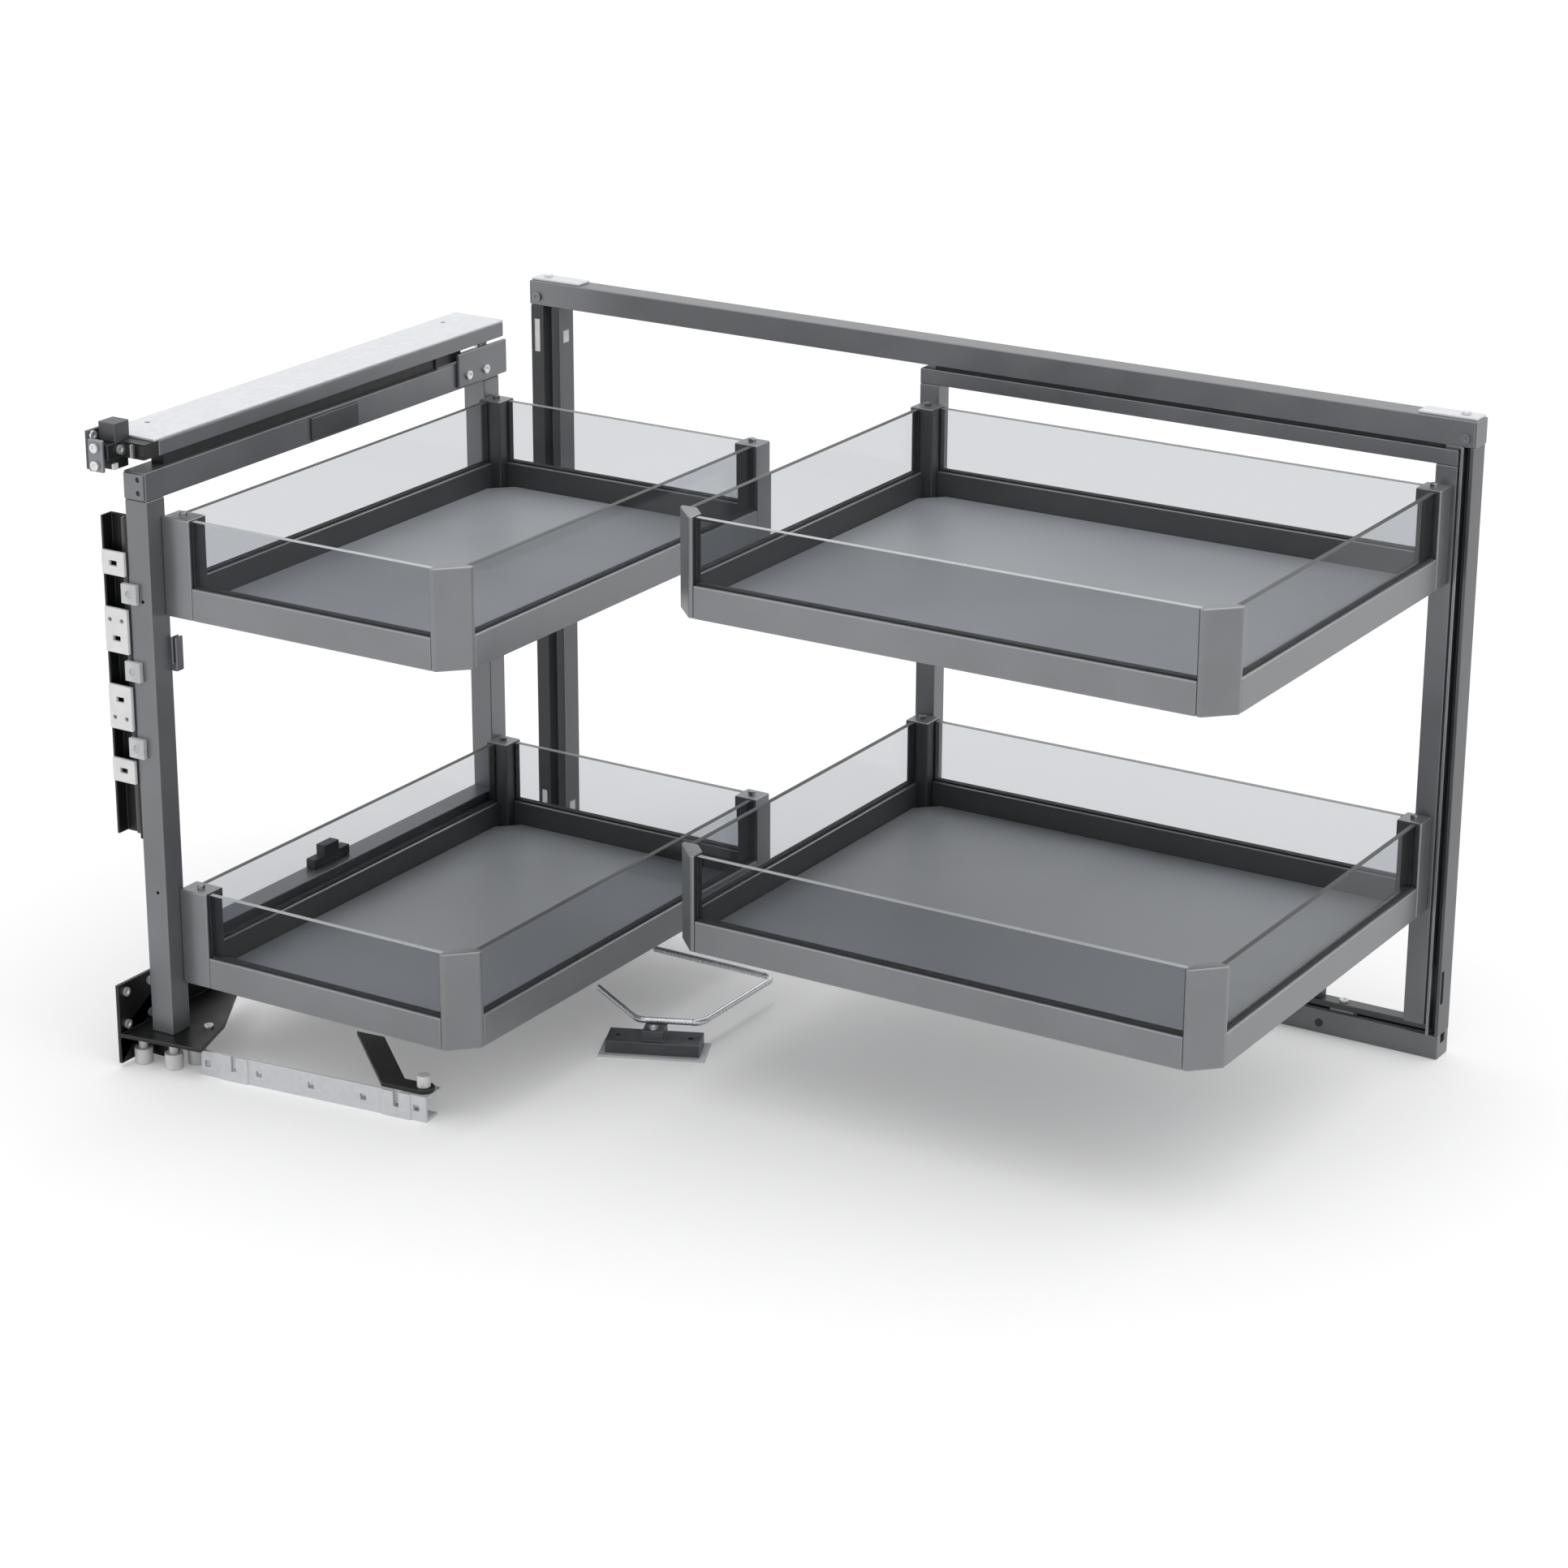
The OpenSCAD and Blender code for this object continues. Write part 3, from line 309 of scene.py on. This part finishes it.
finish = {}
for maker, kinds in ((makeCoat, coats), (makePlated, plated), (makeMoulded, moulded), (makeBoard, boards),
                     (makeGlass, glazing)):
    finish.update({name: maker(name, values) for name, values in kinds.items()})
finishOfSlot = {
    "anthracite_frame": "anthraciteCoat", "tray_rim": "trayCoat", "dark_steel": "darkCoat",
    "black_steel": "blackCoat", "black_plastic": "blackPlastic", "zinc_plate": "zincSheet",
    "bright_steel": "brightSteel", "white_plastic": "whitePlastic", "tray_panel": "trayFloor",
    "smoked_glass": "smokedGlass",
}
print("materials made:", len(finish))


# shared by the pieces: lengths in metres, angles in degrees, shortest edge that is rounded
meshSettings = {"merge": 0.00001, "flat": 1, "sharp": 35, "smooth": 40, "flatWeight": 100, "segments": 2,
                "nodeShortest": 0.004, "trimShortest": 0.001}


def deselectAll():
    if bpy.context.object and bpy.context.object.mode != "OBJECT":
        bpy.ops.object.mode_set(mode="OBJECT")
    bpy.ops.object.select_all(action="DESELECT")


def activate(piece):
    deselectAll()
    bpy.context.view_layer.objects.active = piece
    piece.select_set(True)


def camel(node):
    words = node.split("_")
    return words[0] + "".join(word.capitalize() for word in words[1:])


# smooth rounded edges, with the normals of large faces kept flat
def smoothFaces(piece):
    activate(piece)
    bpy.ops.object.shade_smooth_by_angle(angle=math.radians(meshSettings["smooth"]))
    weighted = piece.modifiers.new("flatFaces", "WEIGHTED_NORMAL")
    weighted.keep_sharp = True
    weighted.weight = meshSettings["flatWeight"]
    bpy.ops.object.modifier_apply(modifier=weighted.name)


# rounds the sharp edges that are longer than shortest
def roundEdges(piece, width, shortest=meshSettings["trimShortest"]):
    activate(piece)
    bpy.ops.object.mode_set(mode="EDIT")
    bpy.ops.mesh.select_mode(type="EDGE")
    bpy.ops.mesh.select_all(action="DESELECT")
    bpy.ops.mesh.edges_select_sharp(sharpness=math.radians(meshSettings["sharp"]))
    bpy.ops.object.mode_set(mode="OBJECT")
    points = piece.data.vertices
    for edge in piece.data.edges:
        if edge.select and (points[edge.vertices[0]].co - points[edge.vertices[1]].co).length < shortest:
            edge.select = False
    bpy.ops.object.mode_set(mode="EDIT")
    bpy.ops.mesh.bevel(offset=width, segments=meshSettings["segments"], affect="EDGES", clamp_overlap=True)
    bpy.ops.object.mode_set(mode="OBJECT")
    smoothFaces(piece)


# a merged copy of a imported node, left in edit mode with all of it selected
def copyNode(node, name):
    piece = bpy.data.objects.new(name, frame["nodes"][node].data.copy())
    bpy.context.scene.collection.objects.link(piece)
    activate(piece)
    bpy.ops.object.mode_set(mode="EDIT")
    bpy.ops.mesh.select_all(action="SELECT")
    bpy.ops.mesh.remove_doubles(threshold=meshSettings["merge"])
    return piece


# a copy with its faces joined and its edges rounded stands for the node
def dressNode(node, width):
    piece = copyNode(node, camel(node))
    bpy.ops.mesh.dissolve_limited(angle_limit=math.radians(meshSettings["flat"]))
    bpy.ops.object.mode_set(mode="OBJECT")
    roundEdges(piece, width, meshSettings["nodeShortest"])
    piece.data.materials.clear()
    piece.data.materials.append(finish[finishOfSlot[slotOf[node]]])
    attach(piece, bodyOf[node])
    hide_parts(node)
    return piece


# rounding of each kind of node, in metres
rounding = {
    "anthracite_frame": 0.0009, "tray_rim": 0.0011, "dark_steel": 0.0006, "black_steel": 0.0006,
    "black_plastic": 0.0008, "zinc_plate": 0.0005, "bright_steel": 0.0003, "white_plastic": 0.0005,
    "tray_panel": 0.0006, "smoked_glass": 0.0005,
}
dressed = {node: dressNode(node, rounding[slotOf[node]]) for node in sorted(frame["nodes"])}

# nodes that are finished apart from the rest of their slot
ownFinish = {"door_adjusters": "clearPlastic", "adjusting_plate": "trayCoat"}
for node, name in ownFinish.items():
    dressed[node].data.materials[0] = finish[name]
print("nodes dressed:", len(dressed))


# gives a piece one more finish and returns its number for the faces that take it
def addFinish(piece, name):
    piece.data.materials.append(finish[name])
    return len(piece.data.materials) - 1


# the walls that face into a tray get a darker coat than its outside: painted shade inside the trays
insideShadeSettings = {"trays": ("front_upper", "front_lower", "rear_upper", "rear_lower"), "tilt": 0.5,
                  "inward": 0.3}


def paintInsideShade(tray, settings):
    low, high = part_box(tray + "_rim")
    middle = (Vector(low) + Vector(high)) / 2
    for part in ("_rim", "_corners"):
        piece = dressed[tray + part]
        # the inward walls take the darker coat as painted shade
        shadedInside = addFinish(piece, "innerCoat")
        for face in piece.data.polygons:
            inward = middle - face.center
            inward.z = 0
            upright = abs(face.normal.z) < settings["tilt"]
            if upright and face.normal.dot(inward.normalized()) > settings["inward"]:
                face.material_index = shadedInside


for tray in insideShadeSettings["trays"]:
    paintInsideShade(tray, insideShadeSettings)
print("tray insides darkened")


# the two rear posts get a darker coat than the rails as painted shade; the left post's front and the right
# post's hollow get deeper painted shade, the left post's hollow painted light
postShadeSettings = {"skin": 0.0005, "tilt": 0.5,
                "tones": {"rear_left_post": {"front": "channelCoat", "hollow": "trayCoat"},
                          "rear_right_post": {"front": "postCoat", "hollow": "channelCoat"}}}


def paintPostShade(node, tones, settings):
    low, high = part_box(node)
    skin, tilt = settings["skin"], settings["tilt"]
    piece = dressed[node]
    # the darker coat over the whole post is painted shade
    piece.data.materials[0] = finish["postCoat"]
    front = addFinish(piece, tones["front"])
    hollow = addFinish(piece, tones["hollow"])
    for face in piece.data.polygons:
        across = low[0] + skin < face.center.x < high[0] - skin
        within = low[1] + skin < face.center.y < high[1] - skin
        if across and within and abs(face.normal.z) < tilt:
            face.material_index = hollow
        elif face.normal.y < -tilt:
            face.material_index = front


for node, tones in postShadeSettings["tones"].items():
    paintPostShade(node, tones, postShadeSettings)


# the screws in the face of the rear top rail are coated like the rail
railScrewSettings = {"reach": 0.004}


def coatRailScrews(settings):
    low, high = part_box("rear_top_rail")
    piece = dressed["fixing_screws"]
    coated = addFinish(piece, "anthraciteCoat")
    for face in piece.data.polygons:
        if low[2] < face.center.z < high[2] and face.center.y > low[1] - settings["reach"]:
            face.material_index = coated


coatRailScrews(railScrewSettings)
print("rear posts and screws toned")


# the narrow faces of each pane are ground, with a painted highlight in front, painted shade at the back and
# darker painted shade along the sides
paneSettings = {"narrow": 0.002}  # area in square metres


def paintPaneEdgeLight(piece, settings):
    front, back, side = (addFinish(piece, name) for name in ("paneEdge", "backPaneEdge", "sidePaneEdge"))
    depths = [point.co.y for point in piece.data.vertices]
    middle = (min(depths) + max(depths)) / 2
    for face in piece.data.polygons:
        if face.area < settings["narrow"]:
            spots = [piece.data.vertices[index].co for index in face.vertices]
            wide = max(spot.x for spot in spots) - min(spot.x for spot in spots)
            deep = max(spot.y for spot in spots) - min(spot.y for spot in spots)
            if deep > wide:
                face.material_index = side
            else:
                face.material_index = back if face.center.y > middle else front


# low and high corners of each separate solid of a node
def solidBoxes(node):
    copyNode(node, "solidCopy")
    bpy.ops.mesh.separate(type="LOOSE")
    bpy.ops.object.mode_set(mode="OBJECT")
    boxes = []
    for piece in list(bpy.context.selected_objects):
        spots = [point.co for point in piece.data.vertices]
        low = Vector([min(spot[axis] for spot in spots) for axis in range(3)])
        high = Vector([max(spot[axis] for spot in spots) for axis in range(3)])
        boxes.append((low, high))
        bpy.data.objects.remove(piece)
    return boxes


# a bar between two corners, added as a cube and set in place
def addBar(name, low, high):
    low, high = Vector(low), Vector(high)
    deselectAll()
    bpy.ops.mesh.primitive_cube_add(size=1, location=(low + high) / 2)
    bar = bpy.context.object
    bar.name = name
    bar.scale = high - low
    bpy.ops.object.transform_apply(location=True, rotation=True, scale=True)
    return bar


def joinPieces(name, pieces):
    deselectAll()
    for piece in pieces:
        piece.select_set(True)
    bpy.context.view_layer.objects.active = pieces[0]
    bpy.ops.object.join()
    piece = bpy.context.object
    piece.name = name
    return piece


def finishPiece(piece, material, body):
    piece.data.materials.clear()
    piece.data.materials.append(finish[material])
    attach(piece, body)


# rubber seal along the foot and both ends of every pane
sealSettings = {"lip": 0.0011, "height": 0.0014, "seat": 0.004, "round": 0.0003, "shortest": 0.0008}


def addSeals(node, settings):
    bars = []
    for low, high in solidBoxes(node):
        thin = 0 if high.x - low.x < high.y - low.y else 1
        along = 1 - thin
        out = Vector((0, 0, 0))
        out[thin] = settings["lip"]
        foot = low.z + settings["seat"]
        bars.append(addBar("seal", Vector((low.x, low.y, foot)) - out,
                           Vector((high.x, high.y, foot + settings["height"])) + out))
        for farEnd in (False, True):
            first = Vector((low.x, low.y, foot)) - out
            last = Vector((high.x, high.y, high.z - settings["round"])) + out
            if farEnd:
                first[along] = last[along] - settings["height"]
            else:
                last[along] = first[along] + settings["height"]
            bars.append(addBar("seal", first, last))
    seal = joinPieces(camel(node) + "Seal", bars)
    roundEdges(seal, settings["round"], settings["shortest"])
    finishPiece(seal, "sealRubber", bodyOf[node])


for node in sorted(frame["nodes"]):
    if slotOf[node] == "smoked_glass":
        paintPaneEdgeLight(dressed[node], paneSettings)
        addSeals(node, sealSettings)
print("panes edged and sealed")


# caps over the open ends of the rear top rail
railCapSettings = {"thick": 0.001, "margin": 0.0004, "round": 0.0004, "shortest": 0.002}


def addRailCaps(settings):
    low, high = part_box("rear_top_rail")
    inset = Vector((0, settings["margin"], settings["margin"]))
    for side, x in (("Left", low[0] - settings["thick"]), ("Right", high[0])):
        cap = addBar("rearRailCap" + side, Vector((x, low[1], low[2])) + inset,
                     Vector((x + settings["thick"], high[1], high[2])) - inset)
        roundEdges(cap, settings["round"], settings["shortest"])
        finishPiece(cap, "anthraciteCoat", "fixed_frame")


addRailCaps(railCapSettings)
print("rail caps added")


# a face of a piece, by its axis and the side it looks to
rightFace, frontFace, topFace = (0, 1), (1, -1), (2, 1)
stepSettings = {"facing": 0.9, "near": 0.0005}


# insets one face of a piece and sinks it, or raises it where the depth is above zero
def stepFace(piece, face, inset, depth):
    axis, side = face
    end = max(point.co[axis] * side for point in piece.data.vertices)
    activate(piece)
    bpy.ops.object.mode_set(mode="EDIT")
    bpy.ops.mesh.select_mode(type="FACE")
    bpy.ops.mesh.select_all(action="DESELECT")
    bpy.ops.object.mode_set(mode="OBJECT")
    for polygon in piece.data.polygons:
        facing = polygon.normal[axis] * side > stepSettings["facing"]
        polygon.select = facing and abs(polygon.center[axis] * side - end) < stepSettings["near"]
    bpy.ops.object.mode_set(mode="EDIT")
    bpy.ops.mesh.inset(thickness=inset, depth=depth)
    bpy.ops.object.mode_set(mode="OBJECT")


# steps one face of a bar, rounds it and finishes it
def finishBar(bar, face, settings, material, body):
    stepFace(bar, face, *settings["step"])
    roundEdges(bar, settings["round"])
    finishPiece(bar, material, body)


# black guide along the top of the front beam, under the fixed rail, with a running groove: painted shade
# that fills the shaded gap between rail and beam
gapShadeGuideSettings = {"width": 0.012, "height": 0.0085, "front": 0.026, "back": 0.076, "step": (0.0025, -0.003),
                 "round": 0.0005}


def addGapShadeGuide(settings):
    low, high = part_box("front_top_beam")
    middle = (low[0] + high[0]) / 2
    half = settings["width"] / 2
    shadeGuide = addBar("slideGuide", (middle - half, low[1] + settings["front"], high[2]),
                   (middle + half, high[1] - settings["back"], high[2] + settings["height"]))
    finishBar(shadeGuide, topFace, settings, "blackPlastic", "swing_frame")


addGapShadeGuide(gapShadeGuideSettings)


# short black runner under the rear of the front rail, between the guide and the joint plate: painted shade
# that fills the rest of that shaded gap
railShadeRunnerSettings = {"wide": 0.0015, "fromSide": 0.0035, "fromBack": 0.053, "long": 0.033, "gap": 0.001,
                  "step": (0.0015, -0.0003), "round": 0.0002}


def addRailShadeRunner(settings):
    railLow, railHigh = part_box("front_top_rail")
    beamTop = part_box("front_top_beam")[1][2]
    right = railHigh[0] - settings["fromSide"]
    back = railHigh[1] - settings["fromBack"]
    shadeRunner = addBar("railRunner",
                    (right - settings["wide"], back - settings["long"], beamTop + settings["gap"]),
                    (right, back, railLow[2]))
    finishBar(shadeRunner, rightFace, settings, "blackPlastic", "fixed_frame")


addRailShadeRunner(railShadeRunnerSettings)


# black block at the front end of the front rail, beside its bracket
endBlockSettings = {"reach": 0.016, "side": 0.001, "step": (0.002, -0.003), "round": 0.0004}


def addEndBlock(settings):
    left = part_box("rail_front_bracket")[1][0]
    railLow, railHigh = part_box("front_top_rail")
    low = (left, railLow[1] - settings["reach"], railLow[2])
    high = (railHigh[0] - settings["side"], railLow[1], railHigh[2])
    block = addBar("railEndBlock", low, high)
    finishBar(block, frontFace, settings, "blackPlastic", "fixed_frame")
    return low, high


# pale upright rib in the middle of that block's front
endRibSettings = {"wide": 0.0024, "proud": 0.0012, "sunk": 0.001, "end": 0.001, "step": (0.0005, -0.0003),
                  "round": 0.0002}


def addEndRib(blockLow, blockHigh, settings):
    middle = (blockLow[0] + blockHigh[0]) / 2
    half = settings["wide"] / 2
    front = blockLow[1]
    rib = addBar("railEndRib", (middle - half, front - settings["proud"], blockLow[2] + settings["end"]),
                 (middle + half, front + settings["sunk"], blockHigh[2] - settings["end"]))
    finishBar(rib, frontFace, settings, "trayCoat", "fixed_frame")


addEndRib(*addEndBlock(endBlockSettings), endRibSettings)


# white plug on the right face of the bracket
bracketPlugSettings = {"thick": 0.0015, "deep": 0.0055, "tall": 0.004, "fromFront": 0.003, "fromFoot": 0.002,
                       "step": (0.0008, -0.0005), "round": 0.0002}


def addBracketPlug(settings):
    low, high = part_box("rail_front_bracket")
    x, y, z = high[0], low[1] + settings["fromFront"], low[2] + settings["fromFoot"]
    plug = addBar("bracketPlug", (x, y, z),
                  (x + settings["thick"], y + settings["deep"], z + settings["tall"]))
    finishBar(plug, rightFace, settings, "whitePlastic", "fixed_frame")


addBracketPlug(bracketPlugSettings)


# white plugs in the slots near both ends of the left rear post
postPlugSettings = {"tall": (0.005, 0.027), "small": (0.008, 0.010), "fromLeft": 0.006, "fromEnd": 0.025,
                    "thick": 0.003, "step": (0.0009, -0.0006), "round": 0.0003}


def addPostPlugs(settings):
    low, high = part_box("rear_left_post")
    thick = settings["thick"]
    x, y = low[0] + settings["fromLeft"], (low[1] + high[1]) / 2
    plugs = []
    for z in (low[2] + settings["fromEnd"], high[2] - settings["fromEnd"]):
        wide, tall = settings["tall"]
        tallPlug = addBar("plug", (x - wide / 2, low[1], z - tall / 2),
                          (x + wide / 2, low[1] + thick, z + tall / 2))
        stepFace(tallPlug, frontFace, *settings["step"])
        wide, tall = settings["small"]
        smallPlug = addBar("plug", (high[0] - thick, y - wide / 2, z - tall / 2),
                           (high[0], y + wide / 2, z + tall / 2))
        stepFace(smallPlug, rightFace, *settings["step"])
        plugs += [tallPlug, smallPlug]
    plugSet = joinPieces("postPlugs", plugs)
    roundEdges(plugSet, settings["round"])
    finishPiece(plugSet, "whitePlastic", "fixed_frame")


addPostPlugs(postPlugSettings)


# rib inside the door channel, placed by shares of the channel's width
channelRibSettings = {"from": 0.58, "to": 0.7, "deep": 0.004, "wall": 0.002, "end": 0.001,
                      "step": (0.0006, -0.0004), "round": 0.0003}


def addChannelRib(settings):
    low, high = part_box("door_channel")
    wide = high[0] - low[0]
    back = high[1] - settings["wall"]
    rib = addBar("channelRib",
                 (low[0] + settings["from"] * wide, back - settings["deep"], low[2] + settings["end"]),
                 (low[0] + settings["to"] * wide, back, high[2] - settings["end"]))
    finishBar(rib, frontFace, settings, "darkCoat", "swing_frame")


addChannelRib(channelRibSettings)


# thin plated foot under the floor bracket, with a raised middle, turned in degrees
footSettings = {"turn": 24, "size": (0.082, 0.034, 0.0018), "step": (0.003, 0.0004), "round": 0.0005}


def addBracketFoot(settings):
    low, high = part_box("floor_bracket")
    middle = (Vector(low) + Vector(high)) / 2
    half = Vector(settings["size"]) / 2
    foot = addBar("floorBracketFoot", -half, half)
    stepFace(foot, topFace, *settings["step"])
    roundEdges(foot, settings["round"])
    activate(foot)
    foot.rotation_euler.z = math.radians(settings["turn"])
    foot.location = (middle.x, middle.y, half.z)
    bpy.ops.object.transform_apply(location=True, rotation=True, scale=True)
    finishPiece(foot, "zincSheet", "fixed_frame")


addBracketFoot(footSettings)


# pale lip beside the groove of the right rear post: a painted highlight along the left edge of its front
postHighlightLipSettings = {"wide": 0.002, "proud": 0.0006, "round": 0.00015, "shortest": 0.0005}


def addPostHighlightLip(settings):
    low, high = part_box("rear_right_post")
    lip = addBar("rightPostStrip", (low[0], low[1] - settings["proud"], low[2]),
                 (low[0] + settings["wide"], low[1], high[2]))
    roundEdges(lip, settings["round"], settings["shortest"])
    finishPiece(lip, "trayCoat", "fixed_frame")


addPostHighlightLip(postHighlightLipSettings)


# black strip along the carriage, just below the rear top rail and in line with the foot bar's front: painted
# shade in the gap under the rail
carriageGapShadeSettings = {"ahead": 0.0016, "behind": 0.001, "end": 0.012, "tall": 0.0024, "gap": 0.0006,
                         "round": 0.0003}


def addCarriageGapShade(settings):
    low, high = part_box("carriage_foot_bar")
    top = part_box("rear_top_rail")[0][2] - settings["gap"]
    shadeStrip = addBar("carriageStrip",
                   (low[0] + settings["end"], low[1] - settings["ahead"], top - settings["tall"]),
                   (high[0] - settings["end"], low[1] + settings["behind"], top))
    roundEdges(shadeStrip, settings["round"])
    finishPiece(shadeStrip, "sealRubber", "carriage")


addCarriageGapShade(carriageGapShadeSettings)


# round black plug in the front of the rear bottom rail, dished over two thirds of its radius
railPlugSettings = {"radius": 0.0032, "proud": 0.0006, "fromRight": 0.0975, "fromFloor": 0.0085, "sides": 32,
                    "round": 0.00015, "shortest": 0.0001}


def addRailPlug(settings):
    low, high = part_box("rear_bottom_rail")
    place = (high[0] - settings["fromRight"], low[1], low[2] + settings["fromFloor"])
    deselectAll()
    bpy.ops.mesh.primitive_cylinder_add(vertices=settings["sides"], radius=settings["radius"],
                                        depth=2 * settings["proud"], location=place,
                                        rotation=(math.radians(90), 0, 0))
    plug = bpy.context.object
    plug.name = "bottomRailPlug"
    bpy.ops.object.transform_apply(location=True, rotation=True, scale=True)
    stepFace(plug, frontFace, settings["radius"] / 3, -settings["proud"] / 2)
    roundEdges(plug, settings["round"], settings["shortest"])
    finishPiece(plug, "blackPlastic", "fixed_frame")


addRailPlug(railPlugSettings)
print("small fittings added")


# 1 for what is seen straight, in a reflection or through glass, 0 for light that only bounces
def addSeenRays(tree):
    path = tree.nodes.new("ShaderNodeLightPath")
    seen = path.outputs["Is Camera Ray"]
    for ray in ("Is Glossy Ray", "Is Transmission Ray"):
        either = tree.nodes.new("ShaderNodeMath")
        either.operation = "MAXIMUM"
        tree.links.new(seen, either.inputs[0])
        tree.links.new(path.outputs[ray], either.inputs[1])
        seen = either.outputs["Value"]
    return seen


# pale floor that glows a little where it is seen, so that it reads white
floorSettings = {"size": 40.0, "tone": 0.8, "glow": 0.2, "roughness": 0.9, "shine": 0.1}


def addFloor(settings):
    deselectAll()
    bpy.ops.mesh.primitive_plane_add(size=settings["size"], location=(0, 0, 0))
    floor = bpy.context.object
    floor.name = "paleFloor"
    material, tree, shader = startMaterial("paleFloor")[:3]
    shader.inputs["Base Color"].default_value = grey(settings["tone"], 0.0)
    shader.inputs["Roughness"].default_value = settings["roughness"]
    shader.inputs["Specular IOR Level"].default_value = settings["shine"]
    shader.inputs["Emission Color"].default_value = (1, 1, 1, 1)
    glow = addSpread(tree, addSeenRays(tree), (0, 1), 0, settings["glow"])
    tree.links.new(glow, shader.inputs["Emission Strength"])
    floor.data.materials.append(material)


addFloor(floorSettings)


# world that is white where it is seen and lights the part less strongly
worldSettings = {"seen": 1.0, "light": 0.4}


def addWorld(settings):
    world = bpy.data.worlds.new("studioWorld")
    bpy.context.scene.world = world
    world.use_nodes = True
    tree = world.node_tree
    background = tree.nodes["Background"]
    background.inputs["Color"].default_value = (1, 1, 1, 1)
    strength = addSpread(tree, addSeenRays(tree), (0, 1), settings["light"], settings["seen"])
    tree.links.new(strength, background.inputs["Strength"])


addWorld(worldSettings)


# a broad soft sun from above and a large lamp in front on the left
sunSettings = {"energy": 2.2, "angle": 105, "turn": (-12, 15, 0)}
lampSettings = {"energy": 20, "size": 2.4, "place": (-1.6, -3.2, 1.6), "aim": (0, -0.3, 0.25)}


def addSun(settings):
    data = bpy.data.lights.new("topLight", "SUN")
    data.energy = settings["energy"]
    data.angle = math.radians(settings["angle"])
    sun = bpy.data.objects.new("topLight", data)
    sun.rotation_euler = [math.radians(turn) for turn in settings["turn"]]
    bpy.context.scene.collection.objects.link(sun)


def addLamp(settings):
    data = bpy.data.lights.new("frontLight", "AREA")
    data.energy = settings["energy"]
    data.size = settings["size"]
    lamp = bpy.data.objects.new("frontLight", data)
    lamp.location = settings["place"]
    aim = Vector(settings["aim"]) - Vector(settings["place"])
    lamp.rotation_euler = aim.to_track_quat("-Z", "Y").to_euler()
    bpy.context.scene.collection.objects.link(lamp)


addSun(sunSettings)
addLamp(lampSettings)
print("stage lit")
